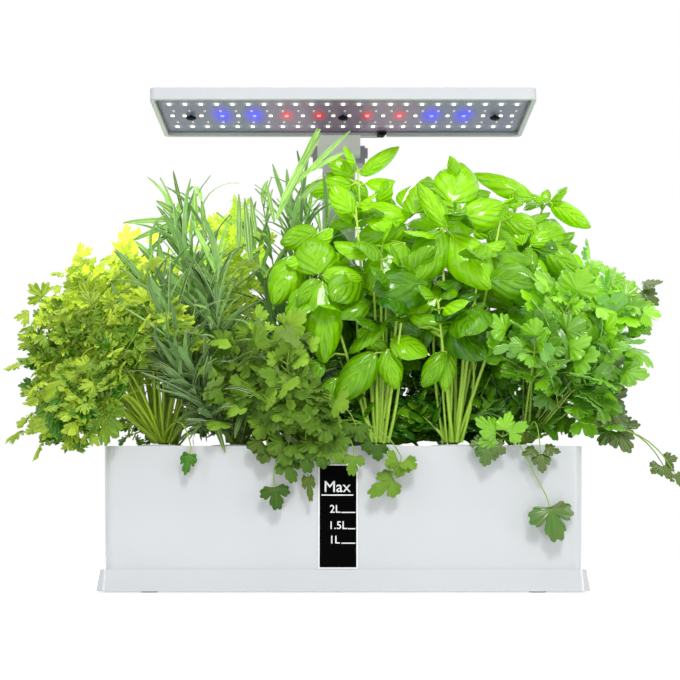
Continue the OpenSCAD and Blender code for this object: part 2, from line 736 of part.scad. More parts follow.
module pump_filter() color("black") {
    at_pump() translate([-pump_w / 2 + 2, -pump_cover_t - 2 * fit - 7, 2]) cube([pump_w - 4, 6.8, pump_h - 4]);
}

module pump_feet() color("darkslategray") {
    at_pump() for (x = [-1, 1], y = [5, pump_d - 5]) translate([x * (pump_w / 2 - 6), y, -pump_foot_h])
        cylinder(d1 = 8, d2 = 4, h = pump_foot_h, $fn = 32);
}

outlet_h = 22;

module outlet_pipe() color("lightgray") {
    at_pump() translate([-pump_w / 2 + 9, 12, pump_h / 2 + 4]) difference() {
        union() {
            cylinder(d = outlet_d - 2 * fit, h = outlet_h, $fn = 32);
            translate([0, 0, outlet_h - 4]) rotate([0, -90, 0]) cylinder(d = 6, h = 12, $fn = 32);
        }
        translate([0, 0, -past]) cylinder(d = outlet_d - 3, h = outlet_h - 4 + past, $fn = 32);
        translate([0, 0, outlet_h - 4]) rotate([0, -90, 0]) cylinder(d = 3.5, h = 20, $fn = 24);
    }
}

pump_lead_x = mast_x + box_w / 2 - 14;
pump_lead_z = pump_z + 8;
pump_lead_end = pump_x - pump_w / 2 + 5;

module pump_lead() color("black") {
    translate([pump_lead_x, mast_y, pump_lead_z]) cylinder(d = 4, h = board_top - 1.8 - pump_lead_z, $fn = 24);
    translate([pump_lead_x, mast_y, pump_lead_z]) sphere(d = 4.4, $fn = 24);
    translate([pump_lead_x, mast_y, pump_lead_z]) rotate([0, 90, 0]) cylinder(d = 4, h = pump_lead_end - pump_lead_x, $fn = 24);
    translate([pump_lead_end, mast_y, pump_lead_z]) sphere(d = 4.4, $fn = 24);
    translate([pump_lead_end, pump_y + pump_d, pump_lead_z]) rotate([-90, 0, 0]) cylinder(d = 4, h = mast_y - pump_y - pump_d, $fn = 24);
}

// ---------------------------------------------------------------- plants
// A shoot is a stem on a quadratic curve with leaves along it. Its tip is given from the pod:
// sideways, to the back, and upward as a share of the tallest plant. arch lifts the curve's middle.

crown_z = deck_z + flange_t;
stem_z = cap_top + 3;
cell_gap = 0.4;

function along(a, c, b, t) = (1 - t) * (1 - t) * a + 2 * t * (1 - t) * c + t * t * b;

// A repeatable scatter between -1 and 1
function scatter(i) = let (s = sin(i * 137.5 + 31) * 43.7) 2 * (s - floor(s)) - 1;

// A pointed leaf from its foot at the origin along X: how wide it is at each share of its length
oval = [[0, 0.05], [0.22, 0.4], [0.5, 0.5], [0.8, 0.3]];
narrow = [[0, 0.2], [0.4, 0.5]];

function blade(l, w, shape) = concat(
    [for (p = shape) [l * p[0], -w * p[1]]], [[l, 0]],
    [for (i = [len(shape) - 1:-1:0]) [l * shape[i][0], w * shape[i][1]]]);

// A leaflet of lobes that spread like a fan: every second point is a notch
function fan(l, lobes, notch, half) = concat([[0, -0.6]],
    [for (k = [0:2 * lobes]) let (a = -half + k * half / lobes, r = l * (k % 2 ? 1 : notch) * (0.82 + 0.18 * cos(a)))
        [l * 0.3 + r * 0.7 * cos(a), r * 0.7 * sin(a)]], [[0, 0.6]]);

module leaf(at, az, el, roll, outline) {
    translate(at) rotate([0, -el, az]) rotate([roll, 0, 0]) translate([-1.5, 0, -leaf_t / 2])
        linear_extrude(leaf_t) polygon(outline);
}

module stem(a, c, b, r, pieces = 3) {
    for (i = [0:pieces - 1]) {
        from = along(a, c, b, i / pieces);
        to = along(a, c, b, (i + 1) / pieces);
        over = 0.4 * r / norm(to - from);
        rod(from - over * (to - from), to + over * (to - from), r * (1 - 0.12 * i));
    }
}

function foot_of(i) = [3.2 * cos(i * 137), 3.2 * sin(i * 137), stem_z];
function tip_of(s) = [s.x, s.y, cap_top + s.z * plant_h];
function knee_of(s, i) = let (a = foot_of(i), b = tip_of(s), reach = s[3] > 20 ? 0.85 : 0.3)
    [a.x + (b.x - a.x) * reach, a.y + (b.y - a.y) * reach, a.z + (b.z - a.z) * 0.6 + s[3]];

module basil_shoot(s, i) {
    a = foot_of(i);
    c = knee_of(s, i);
    b = tip_of(s);
    stem(a, c, b, 1.6);
    for (k = [0:3]) {
        t = [0.5, 0.7, 0.86, 1][k];
        size = basil_leaf * [0.9, 1, 0.85, 0.55][k];
        for (side = [0, 180]) leaf(along(a, c, b, t), 90 * k + side + 40 * i, [-12, 5, 20, 48][k] + 8 * scatter(i + k + side),
            15 * scatter(3 * i + k + side), blade(size, size * 0.66, oval));
    }
}

module tarragon_shoot(s, i) {
    a = foot_of(i);
    c = knee_of(s, i);
    b = tip_of(s);
    stem(a, c, b, 1.1, 4);
    for (k = [0:13]) {
        t = 0.28 + 0.72 * k / 13;
        size = tarragon_leaf * (k > 10 ? 0.7 : 0.85 + 0.15 * scatter(k + i));
        leaf(along(a, c, b, t), 137.5 * k + 50 * i, 30 + 2.6 * k, 20 * scatter(k + 7 * i), blade(size, 5.5, narrow));
    }
}

module frond(s, i, l, notch, r) {
    a = foot_of(i);
    c = knee_of(s, i);
    b = tip_of(s);
    way = atan2(s.y, s.x);
    stem(a, c, b, r);
    leaf(b, way, 18 + 14 * scatter(i), 20 * scatter(i + 5), fan(l, 3, notch, 115));
    for (k = [0:3]) {
        side = k % 2 ? 1 : -1;
        t = k < 2 ? 0.87 : 0.72;
        leaf(along(a, c, b, t), way + side * (62 + 12 * scatter(i + k)), 12 + 16 * scatter(2 * i + k), 25 * scatter(i + 3 * k),
            fan(l * (k < 2 ? 0.9 : 0.8), 3, notch, 115));
    }
}

// The room that a plant has: walls between the columns and a wall between the rows, all leaning.
// A wall is [its place at the pods, how it leans with height, how it turns with depth].
front_walls = [[-2, -0.33, 0], [-1, -0.2, 0], [0, -0.2, -1.2], [1, 0, 0], [2, 0.45, 0.5]];
rear_walls = [[-2, -0.25, 0], [-1, -0.15, 0], [0, 0, 0], [1, 0.05, 0], [2, 0.5, 0]];
row_lean = -0.1;
rear_lean = 0.35;

module half_space(at, normal) {
    big = 900;
    n = normal / norm(normal);
    translate(at) rotate([0, acos(n.z), atan2(n.y, n.x)]) translate([-big / 2, -big / 2, cell_gap / 2]) cube(big);
}

module room(column, row) {
    walls = row == 0 ? front_walls : rear_walls;
    y = row_y[row];
    difference() {
        translate([-tank_w, -tank_d * 5 / 6, plinth_h + plinth_step])
            cube([2 * tank_w, tank_d * 31 / 18, plant_h + deck_z - plinth_h - plinth_step]);
        if (column > 0) {
            w = walls[column - 1];
            half_space([w[0] * pod_pitch, y, crown_z], [-1, w[2], w[1]]);
        }
        if (column < 5) {
            w = walls[column];
            half_space([w[0] * pod_pitch, y, crown_z], [1, -w[2], -w[1]]);
        }
        half_space([0, row_mid, crown_z], row == 0 ? [0, 1, -row_lean] : [0, -1, row_lean]);
        if (row == 1) half_space([0, box_y - 9, crown_z], [0, 1, -rear_lean]);
        if (row == 1 && (column == 2 || column == 3)) half_space([0, box_y - 2, crown_z], [0, 1, 0]);
        translate([-tank_w / 2 - 2, -tank_d / 2 - 4, -past]) cube([tank_w + 4, 2 * tank_d, cap_top + past + soft]);
    }
}

module plant(column, row) {
    at = [column_x[column], row_y[row], 0];
    intersection() {
        translate(at) children();
        room(column, row);
    }
    translate([at.x, at.y, crown_z]) cylinder(r = 6, h = 11, $fn = 8);
}

module basil(column, row, shoots) {
    plant(column, row) for (i = [0:len(shoots) - 1]) basil_shoot(shoots[i], i);
}

module tarragon(column, row, shoots) {
    plant(column, row) for (i = [0:len(shoots) - 1]) tarragon_shoot(shoots[i], i);
}

module parsley(column, row, shoots) {
    plant(column, row) for (i = [0:len(shoots) - 1]) frond(shoots[i], i, parsley_leaf, 0.5, 1.5);
}

module coriander(column, row, shoots) {
    plant(column, row) for (i = [0:len(shoots) - 1]) frond(shoots[i], i, coriander_leaf, 0.72, 1.1);
}

module parsley_left_front() color([0.62, 0.82, 0.2]) {
    parsley(0, 0, [[-28, 0, 0.6, 0], [-75, -4, 0.58, 0], [-95, -12, 0.44, 0], [-100, -16, 0.28, 10], [-48, -24, 0.42, 0],
        [-72, -34, 0.12, 40], [-32, -42, 0.26, 10], [-92, -24, 0.06, 55], [-34, -44, 0.1, 40], [-55, -10, 0.5, 0],
        [-5, -30, 0.4, 0]]);
}

module parsley_left_rear() color([0.7, 0.85, 0.25]) {
    parsley(0, 1, [[-42, 6, 0.68, 0], [-18, 20, 0.6, 0], [-74, 16, 0.58, 0], [-98, 14, 0.42, 0], [-60, 36, 0.3, 10],
        [-10, 34, 0.36, 0], [-90, 20, 0.2, 20]]);
}

module tarragon_left() color([0.3, 0.55, 0.25]) {
    tarragon(1, 0, [[-46, -4, 0.8, 0], [-68, -12, 0.62, 0], [-28, -4, 0.76, 0], [-54, -34, 0.44, 10], [-14, -24, 0.56, 0],
        [-40, -36, 0.26, 15]]);
}

module parsley_inner() color([0.75, 0.85, 0.2]) {
    parsley(1, 1, [[-22, 4, 0.72, 0], [-10, 8, 0.76, 0], [-38, 20, 0.6, 0], [-14, 38, 0.5, 0], [-28, 32, 0.3, 0],
        [4, 22, 0.34, 0]]);
}

module coriander_trailing() color([0.35, 0.5, 0.15]) {
    coriander(2, 0, [[-34, -24, 0.32, 0], [-5, -34, 0.34, 0], [26, -40, 0.3, 0], [-16, -50, 0.1, 50], [18, -50, 0.12, 50],
        [-20, -48, -0.1, 80], [18, -48, -0.08, 75], [52, -50, -0.02, 60], [50, -50, -0.14, 80], [-30, -36, 0.16, 20],
        [-14, -20, 0.46, 0]]);
}

module tarragon_right() color([0.33, 0.58, 0.28]) {
    tarragon(2, 1, [[6, -44, 0.97, 0], [18, -40, 0.95, 0], [-18, -22, 0.88, 0], [-38, -14, 0.8, 0], [-48, -10, 0.7, 0],
        [-8, 8, 0.76, 0], [-22, 18, 0.5, 0]]);
}

module basil_front() color([0.42, 0.72, 0.12]) {
    basil(3, 0, [[2, -14, 0.6, 0], [-52, 4, 0.62, 0], [-36, -6, 0.42, 0], [16, -30, 0.36, 0], [18, -20, 0.52, 0],
        [-18, -2, 0.74, 0]]);
}

module basil_rear() color([0.45, 0.75, 0.15]) {
    basil(3, 1, [[-16, -22, 0.92, 0], [-2, -12, 0.8, 0], [-20, -8, 0.64, 0], [20, 2, 0.84, 0], [6, 14, 0.58, 0]]);
}

module basil_tall() color([0.4, 0.7, 0.1]) {
    basil(4, 0, [[5, -2, 0.88, 0], [-8, -18, 0.66, 0], [22, -24, 0.58, 0], [-12, -32, 0.42, 0], [42, -6, 0.74, 0],
        [34, -20, 0.36, 0]]);
}

module basil_right() color([0.47, 0.78, 0.15]) {
    basil(4, 1, [[57, -14, 0.87, 0], [100, -10, 0.8, 0], [78, -12, 0.66, 0], [20, 6, 0.8, 0], [-14, 12, 0.74, 0],
        [38, 22, 0.6, 0]]);
}

module coriander_front() color([0.4, 0.65, 0.15]) {
    coriander(5, 0, [[60, -4, 0.45, 0], [98, -6, 0.36, 0], [32, -22, 0.42, 0], [54, -32, 0.27, 0], [84, -22, 0.14, 30],
        [15, -46, -0.2, 90], [-20, -46, 0.04, 50], [94, -24, -0.08, 70], [4, -34, 0.28, 0], [54, -26, 0.06, 50],
        [10, -48, -0.02, 60]]);
}

module coriander_rear() color([0.43, 0.68, 0.18]) {
    coriander(5, 1, [[62, -8, 0.58, 0], [94, 4, 0.48, 0], [102, 12, 0.32, 0], [34, 12, 0.38, 0], [60, 32, 0.3, 0],
        [84, 22, 0.16, 20], [40, -6, 0.5, 0]]);
}

base_plinth();
base_feet();
base_screws();
tank();
window_seal();
water_window();
window_bezel();
deck();
filler_flap();
flap_pin();
pod_baskets();
end_basket_front();
end_basket_rear();
pod_sponges();
pod_caps();
mast_socket();
control_box();
control_board();
power_button();
button_spring();
status_light();
power_jack();
mast_outer();
mast_bush();
mast_inner();
mast_glide();
yoke();
hinge_pin();
hinge_nut();
hinge_block();
lamp_housing();
led_board();
white_leds();
blue_leds();
red_leds();
lamp_cover();
lamp_screws();
cable_grommet();
lamp_lead();
pump_body();
pump_cover();
impeller();
pump_shaft();
pump_filter();
pump_feet();
outlet_pipe();
pump_lead();
parsley_left_front();
parsley_left_rear();
tarragon_left();
parsley_inner();
coriander_trailing();
tarragon_right();
basil_front();
basil_rear();
basil_tall();
basil_right();
coriander_front();
coriander_rear();
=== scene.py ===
import math
import random

import bmesh
import bpy
from mathutils import Matrix, Vector


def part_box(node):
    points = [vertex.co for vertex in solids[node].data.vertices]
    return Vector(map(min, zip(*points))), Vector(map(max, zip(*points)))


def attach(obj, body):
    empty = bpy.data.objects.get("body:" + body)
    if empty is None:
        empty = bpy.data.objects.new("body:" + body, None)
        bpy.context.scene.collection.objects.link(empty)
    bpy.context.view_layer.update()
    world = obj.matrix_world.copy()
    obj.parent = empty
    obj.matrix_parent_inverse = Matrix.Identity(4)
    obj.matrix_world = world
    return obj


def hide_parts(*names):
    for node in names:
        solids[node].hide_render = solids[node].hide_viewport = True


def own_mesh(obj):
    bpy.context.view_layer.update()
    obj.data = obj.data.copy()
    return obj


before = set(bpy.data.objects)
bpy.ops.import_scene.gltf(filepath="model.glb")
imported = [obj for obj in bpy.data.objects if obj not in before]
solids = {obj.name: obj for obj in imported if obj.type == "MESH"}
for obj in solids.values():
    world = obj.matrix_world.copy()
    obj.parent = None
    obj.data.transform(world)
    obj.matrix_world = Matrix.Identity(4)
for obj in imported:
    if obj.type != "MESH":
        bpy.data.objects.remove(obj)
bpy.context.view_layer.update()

scene = bpy.context.scene


# ---------------------------------------------------------------- the view
# The eye stands a metre in front, level with the foot of the tank, and looks up nine degrees, so that
# the lit underside of the lamp shows above the plants.
looks_up = 9            # degrees
eye = bpy.data.objects.new("eye", bpy.data.cameras.new("eye"))
eye.data.lens = 72.2
eye.data.sensor_width = 36
eye.location = (-0.0025, -1.087, 0.0267)
eye.rotation_euler = (math.radians(90 + looks_up), 0, 0)
scene.collection.objects.link(eye)
scene.camera = eye
scene.view_settings.view_transform = "Standard"


# ---------------------------------------------------------------- light and floor
# A softbox in front, a tall strip on each side, a wide one above and one behind, over white paper in a
# white room. What looks past the object, or is mirrored in it, sees plain white; the light that the room
# itself throws on things is dimmer than that.
middle_of_plants = Vector((0, 0, 0.2))


def softbox(name, at, wide, tall, power):
    """A lit panel that faces the middle of the plants, its size in metres and its power in watts."""
    lamp = bpy.data.lights.new(name, "AREA")
    lamp.shape = "RECTANGLE"
    lamp.size, lamp.size_y = wide, tall
    lamp.energy = power
    held = bpy.data.objects.new(name, lamp)
    held.location = at
    held.rotation_euler = (middle_of_plants - Vector(at)).to_track_quat("-Z", "Y").to_euler()
    scene.collection.objects.link(held)


softbox("key_light", (0.25, -1.45, 1.35), 0.4, 0.4, 15.5)
softbox("left_strip", (-1.35, -1.0, 0.4), 0.22, 1.3, 3.4)
softbox("right_strip", (1.35, -1.0, 0.4), 0.22, 1.3, 4.2)
softbox("top_light", (0.0, -0.1, 1.6), 1.1, 1.1, 9.4)
softbox("back_light", (-0.3, 1.6, 1.0), 0.7, 0.7, 9)


def feed(tree, sockets, values):
    """Gives each socket its plain value, or the output that feeds it."""
    for key, value in values.items():
        if isinstance(value, bpy.types.NodeSocket):
            tree.links.new(value, sockets[key])
        else:
            sockets[key].default_value = value


def put(tree, kind, inputs=None, **settings):
    made = tree.nodes.new("ShaderNode" + kind)
    for key, value in settings.items():
        setattr(made, key, value)
    feed(tree, made.inputs, inputs or {})
    return made


def figure(tree, operation, *values, **settings):
    """What a Math node makes of its values."""
    return put(tree, "Math", dict(enumerate(values)), operation=operation, **settings).outputs[0]


def ramp(tree, value, start, end, low=0.0, high=1.0, curve="LINEAR"):
    """A value that runs from low to high while another goes from start to end, and holds there."""
    ends = {"Value": value, "From Min": start, "From Max": end, "To Min": low, "To Max": high}
    return put(tree, "MapRange", ends, interpolation_type=curve).outputs[0]


def seen_plainly(tree):
    """1 for a ray from the eye, off a mirror or through glass, and 0 for the light that falls on things."""
    ray = put(tree, "LightPath").outputs
    either = figure(tree, "MAXIMUM", ray["Is Camera Ray"], ray["Is Glossy Ray"])
    return figure(tree, "MAXIMUM", either, ray["Is Transmission Ray"])


def emptied(owner):
    owner.use_nodes = True
    owner.node_tree.nodes.clear()
    return owner.node_tree


def mesh_of(name, shaped):
    mesh = bpy.data.meshes.new(name)
    shaped.to_mesh(mesh)
    shaped.free()
    return mesh


def piece_of(name, mesh, look):
    """A piece in the scene, of one mesh and one material."""
    mesh.materials.clear()
    mesh.materials.append(look)
    piece = bpy.data.objects.new(name, mesh)
    scene.collection.objects.link(piece)
    return piece


room_light = 0.5        # what the room throws on things, as a share of what is seen of it
scene.world = bpy.data.worlds.new("white_room")
room = emptied(scene.world)
room_strength = ramp(room, seen_plainly(room), 0.0, 1.0, room_light, 1.0)
wall = put(room, "Background", {"Color": (1, 1, 1, 1), "Strength": room_strength})
put(room, "OutputWorld", {"Surface": wall.outputs[0]})

paper = (0.82, 0.82, 0.82, 1)
paper_lift = 0.6        # added where it is seen plainly, which makes it white but for the shadow
white_floor = bpy.data.materials.new("white_floor")
ground = emptied(white_floor)
matt = put(ground, "BsdfDiffuse", {"Color": paper})
lift = figure(ground, "MULTIPLY", seen_plainly(ground), paper_lift)
shine = put(ground, "Emission", {"Color": (1, 1, 1, 1), "Strength": lift})
both = put(ground, "AddShader", {0: matt.outputs[0], 1: shine.outputs[0]})
put(ground, "OutputMaterial", {"Surface": both.outputs[0]})
spread = bmesh.new()
bmesh.ops.create_grid(spread, x_segments=4, y_segments=4, size=30)
floor = piece_of("floor", mesh_of("floor", spread), white_floor)


# ---------------------------------------------------------------- moulded plastic
# Nearly every hard piece is injection moulded. Its skin carries a faint cloudiness in the colour, a fine
# spark-eroded grain and small changes of gloss, which one node group gives to all of them.
def shade(red, green, blue):
    """A colour as a paint chart gives it, 0 to 255, in the linear numbers that shaders take."""
    linear = [((c / 255 + 0.055) / 1.055) ** 2.4 if c > 10 else c / 3294.6 for c in (red, green, blue)]
    return (*linear, 1)


def group(name, takes, gives):
    """A node group: its inputs with their first values, and its outputs with their kinds."""
    tree = bpy.data.node_groups.new(name, "ShaderNodeTree")
    for label, value in takes.items():
        kind = "NodeSocketColor" if isinstance(value, tuple) else "NodeSocketFloat"
        tree.interface.new_socket(label, in_out="INPUT", socket_type=kind).default_value = value
    for label, kind in gives.items():
        tree.interface.new_socket(label, in_out="OUTPUT", socket_type="NodeSocket" + kind)
    return tree, tree.nodes.new("NodeGroupInput").outputs, tree.nodes.new("NodeGroupOutput").inputs


def place_in(tree):
    return put(tree, "TexCoord").outputs["Object"]


def noise(tree, place, scale, detail=2.0):
    return put(tree, "TexNoise", {"Vector": place, "Scale": scale, "Detail": detail}).outputs["Fac"]


def mixed(tree, share, one, other):
    """The colour that lies between two, nearer the other as the share grows."""
    return put(tree, "Mix", {"Factor": share, "A": one, "B": other}, data_type="RGBA").outputs["Result"]


def bump(tree, height, strength, distance):
    return put(tree, "Bump", {"Height": height, "Strength": strength, "Distance": distance}).outputs[0]


def spaced(values):
    return {label.replace("_", " "): value for label, value in values.items()}


def set_group(tree, kind, **values):
    """A node group placed in a material with its own values."""
    used = tree.nodes.new("ShaderNodeGroup")
    used.node_tree = kind
    feed(tree, used.inputs, spaced(values))
    return used.outputs


def finish_of(name, **plain_values):
    """A new material, its tree and the sockets of its Principled shader, some with plain values."""
    look = bpy.data.materials.new(name)
    look.use_nodes = True
    sockets = look.node_tree.nodes["Principled BSDF"].inputs
    feed(look.node_tree, sockets, spaced(plain_values))
    return look, look.node_tree, sockets


skin, takes, gives = group(
    "moulded_skin",
    {"Colour": (1, 1, 1, 1), "Cloud": (0.9, 0.9, 0.9, 1), "Cloud scale": 14.0, "Grain scale": 1500.0,
     "Gloss": 0.3},
    {"Colour": "Color", "Roughness": "Float", "Height": "Float"})
place = place_in(skin)
clouds = noise(skin, place, takes["Cloud scale"], 3.0)
gloss_spread = 0.16
uneven = figure(skin, "MULTIPLY_ADD", clouds, gloss_spread, takes["Gloss"])
feed(skin, gives, {
    "Colour": mixed(skin, clouds, takes["Colour"], takes["Cloud"]),
    "Roughness": figure(skin, "SUBTRACT", uneven, gloss_spread / 2),
    "Height": noise(skin, place, takes["Grain scale"])})


def moulded(name, colour, cloud, gloss, grain_depth=0.02, cloud_scale=14.0, grain_scale=1500.0,
            **plain_values):
    """Moulded plastic. The grain's depth is in millimetres, the scales are counts of spots in a metre."""
    look, tree, sockets = finish_of(name, **plain_values)
    out = set_group(tree, skin, Colour=shade(*colour), Cloud=shade(*cloud), Gloss=gloss,
                    Cloud_scale=cloud_scale, Grain_scale=grain_scale)
    grain = bump(tree, out["Height"], 0.25, grain_depth * 0.001)
    feed(tree, sockets, {"Base Color": out["Colour"], "Roughness": out["Roughness"], "Normal": grain})
    return look


def mottled(name, one, other, scale, detail=2.0, rough=None, lit=False, **plain_values):
    """A finish that drifts between two colours, and between two roughnesses, or glows in its colour."""
    look, tree, sockets = finish_of(name, **plain_values)
    drift = noise(tree, place_in(tree), scale, detail)
    tone = mixed(tree, drift, shade(*one), shade(*other))
    feed(tree, sockets, {"Base Color": tone})
    if rough:
        feed(tree, sockets, {"Roughness": ramp(tree, drift, 0.0, 1.0, *rough)})
    if lit:
        feed(tree, sockets, {"Emission Color": tone})
    return look


def dress(look, *names):
    for name in names:
        solids[name].material_slots[0].material = look


# ---------------------------------------------------------------- tank, plinth, deck and covers
# High-gloss white ABS from polished tools: the tank with its leaning walls, the wider plinth under it, the
# deck with its twelve pods, the frame of the window, the lid of the filler and the box of the controls.
gloss_white = moulded("gloss_white_abs", (211, 214, 217), (205, 208, 212), 0.18, Coat_Weight=0.8,
                      Coat_Roughness=0.04)
dress(gloss_white, "tank", "base_plinth")
dress(moulded("bezel_white_abs", (250, 251, 252), (242, 244, 246), 0.25), "window_bezel")
dress(moulded("deck_white_abs", (228, 230, 231), (220, 223, 225), 0.34),
      "deck", "filler_flap", "mast_socket", "control_box")
dress(moulded("pod_white_pp", (224, 226, 224), (214, 217, 214), 0.42, cloud_scale=60.0),
      "pod_baskets", "end_basket_front", "end_basket_rear", "pod_caps")


# ---------------------------------------------------------------- sponges
# Each pod holds a plug of pressed peat sponge. It is open-celled and dark where it is wet.
sponge, tree, sockets = finish_of("peat_sponge", Roughness=0.95, Specular_IOR_Level=0.2)
place = place_in(tree)
cells = put(tree, "TexVoronoi", {"Vector": place, "Scale": 620.0}).outputs["Distance"]
pores = ramp(tree, cells, 0.15, 0.6)
peat = mixed(tree, noise(tree, place, 90.0, 4.0), shade(58, 38, 22), shade(112, 78, 46))
# The pits of the cells are painted dark brown: painted shade in the pores.
feed(tree, sockets, {
    "Base Color": mixed(tree, pores, shade(30, 20, 12), peat),
    "Normal": bump(tree, pores, 0.8, 0.0012)})
dress(sponge, "pod_sponges")


# ---------------------------------------------------------------- mast and hinge
# Anodised grey aluminium tubes that slide in one another, pale and lavender partly by painted light of the
# diodes above, a darker yoke of glass-filled nylon, and the hinge block that clamps the lamp. Pin and screws
# are plated steel.
dress(moulded("anodised_grey", (236, 232, 246), (226, 222, 238), 0.36), "mast_outer", "mast_inner")
dress(moulded("hinge_grey_abs", (252, 253, 255), (246, 248, 252), 0.3), "hinge_block", "power_button")
dress(moulded("dark_grey_nylon", (168, 169, 182), (154, 155, 170), 0.48, grain_depth=0.05),
      "yoke", "mast_bush", "mast_glide", "hinge_nut")
zinc_grey = (198, 200, 204)
zinc_shadow = [c * 0.86 for c in zinc_grey]
zinc = mottled("zinc_plate", zinc_grey, zinc_shadow, 900.0, 3.0, rough=(0.24, 0.44), Metallic=1.0)
dress(zinc, "base_screws", "hinge_pin", "flap_pin")


# ---------------------------------------------------------------- button spring
# A coil of zinc-plated wire with closed end turns, that stands on the board round the foot of the power
# button.
spring_low, spring_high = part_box("button_spring")
spring_foot = Vector(((spring_low.x + spring_high.x) / 2, (spring_low.y + spring_high.y) / 2, spring_low.z))
spring_length = spring_high.z - spring_low.z
wire = 0.0003           # half the wire's thickness
coil_radius = (spring_high.x - spring_low.x) / 2 - wire
turns = 6
steps = 20              # of one turn
sides = 8               # of the wire
coil = bmesh.new()
rings = []
for k in range(turns * steps + 1):
    turn = k / steps
    closed = 2 * wire * (min(turn, 1) + max(turn - turns + 1, 0))
    open_part = (spring_length - 6 * wire) * min(max((turn - 1) / (turns - 2), 0), 1)
    out = Matrix.Rotation(math.tau * turn, 3, "Z") @ Vector((1, 0, 0))
    middle = spring_foot + out * coil_radius + Vector((0, 0, wire + closed + open_part))
    ring = []
    for a in [math.tau * j / sides for j in range(sides)]:
        ring.append(coil.verts.new(middle + wire * (math.cos(a) * out + Vector((0, 0, math.sin(a))))))
    rings.append(ring)
for ring, above in zip(rings, rings[1:]):
    for j in range(sides):
        coil.faces.new((ring[j], ring[j - 1], above[j - 1], above[j]))
coil.faces.new(rings[0])
coil.faces.new(rings[-1])
bmesh.ops.recalc_face_normals(coil, faces=coil.faces[:])
for f in coil.faces:
    f.smooth = len(f.verts) == 4
spring = piece_of("coil_spring", mesh_of("coil_spring", coil), zinc)
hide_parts("button_spring")
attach(spring, "base")
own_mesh(spring)


# ---------------------------------------------------------------- rubber, black trim, pump and board
# Soft feet and seals, the black plugs and leads, the small pump with its filter, and the printed board
# under the button. Most of it is hidden in the tank or the box.
rubber_grain = {"grain_depth": 0.08, "grain_scale": 900.0}
dress(moulded("grey_rubber", (92, 92, 94), (76, 76, 78), 0.75, **rubber_grain), "window_seal", "pump_feet")
dress(moulded("foot_silicone", (236, 238, 240), (228, 230, 232), 0.6, **rubber_grain), "base_feet")
dress(moulded("black_plastic", (20, 20, 22), (13, 13, 15), 0.42, Specular_IOR_Level=0.25),
      "power_jack", "lamp_lead", "pump_lead", "pump_body")
dress(moulded("pump_grey_plastic", (96, 98, 104), (80, 82, 90), 0.45), "pump_cover", "outlet_pipe")
dress(moulded("blue_pom", (60, 96, 168), (52, 86, 156), 0.35), "impeller")
dress(moulded("ceramic", (232, 230, 224), (222, 220, 214), 0.25), "pump_shaft")
filter_foam = moulded("filter_foam", (40, 40, 44), (18, 18, 20), 0.9, grain_depth=1.2, cloud_scale=900.0,
                      grain_scale=600.0)
dress(filter_foam, "pump_filter")
dress(moulded("solder_mask", (26, 92, 50), (18, 74, 40), 0.3, cloud_scale=300.0), "control_board")
pilot = mottled("green_light", (60, 230, 90), (130, 255, 140), 500.0, lit=True, Roughness=0.25,
                Emission_Strength=1.4)
dress(pilot, "status_light")


# ---------------------------------------------------------------- lamp
# A shallow white ABS tray, face down, its inside painted dark grey as painted shade, with a white-masked
# board of light-emitting diodes behind a clear polycarbonate sheet, held by three black dome-headed screws.
# The middle of its three rows has four blue and four red ones, whose light is painted on the board round
# them.
def off_middle(tree, coordinate, middle):
    """How far a point lies from the middle, to either side."""
    return figure(tree, "ABSOLUTE", figure(tree, "SUBTRACT", coordinate, middle))


def far_from(tree, x, y):
    """How far a point lies from a centre, of which its distances in x and y are given."""
    pair = put(tree, "CombineXYZ", {"X": x, "Y": y}).outputs[0]
    return put(tree, "VectorMath", {0: pair}, operation="LENGTH").outputs["Value"]


tray_low, tray_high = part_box("lamp_housing")
tray_top, tray_wall, tray_lip = 0.0015, 0.0022, 0.0034      # the painted shade inside the tray begins this far within
tray_white = moulded("lamp_white_abs", (206, 209, 212), (198, 201, 206), 0.45, Specular_IOR_Level=0.16)
tree = tray_white.node_tree
sockets = tree.nodes["Principled BSDF"].inputs
spot = put(tree, "SeparateXYZ", {0: place_in(tree)}).outputs
# Inside the tray, the walls and the lid are painted dark grey: painted shade in its recess.
painted_shade_inside = figure(tree, "LESS_THAN", spot["Z"], tray_high.z - tray_top)
painted_shade_inside = figure(tree, "MULTIPLY", painted_shade_inside, figure(tree, "GREATER_THAN", spot["Z"], tray_low.z + tray_lip))
for axis, low, high in (("X", tray_low.x, tray_high.x), ("Y", tray_low.y, tray_high.y)):
    inward = off_middle(tree, spot[axis], (low + high) / 2)
    painted_shade_inside = figure(tree, "MULTIPLY", painted_shade_inside, figure(tree, "LESS_THAN", inward, (high - low) / 2 - tray_wall))
outer_colour = sockets["Base Color"].links[0].from_socket
feed(tree, sockets, {"Base Color": mixed(tree, painted_shade_inside, outer_colour, shade(54, 57, 68))})
dress(tray_white, "lamp_housing")

row_y = 0.002           # the middle row
row_pitch = 0.029       # from it to the outer rows
diode_pitch = 0.0128    # along the outer rows
middle_step = diode_pitch * 1.043
halo_reach = 0.006      # of a white diode's light on the board
blue_reach, red_reach, red_spill = 0.0135, 0.0085, 0.055
lens_throw = 0.42       # by which y counts less than x, as the lenses throw wider across the rows

glow, takes, gives = group(
    "glow_around_diodes",
    {"Near": 0.02, "Far": 0.04, "Reach": 0.012},
    {"Mask": "Float"})
spot = put(glow, "SeparateXYZ", {0: place_in(glow)}).outputs
mirrored = figure(glow, "ABSOLUTE", spot["X"])
gaps = [off_middle(glow, mirrored, takes[which]) for which in ("Near", "Far")]
beside = figure(glow, "MINIMUM", *gaps)
across = figure(glow, "MULTIPLY", figure(glow, "SUBTRACT", spot["Y"], row_y), lens_throw)
share = figure(glow, "DIVIDE", far_from(glow, beside, across), takes["Reach"])
feed(glow, gives, {"Mask": ramp(glow, share, 0.1, 1.0, 1.0, 0.0, "SMOOTHERSTEP")})


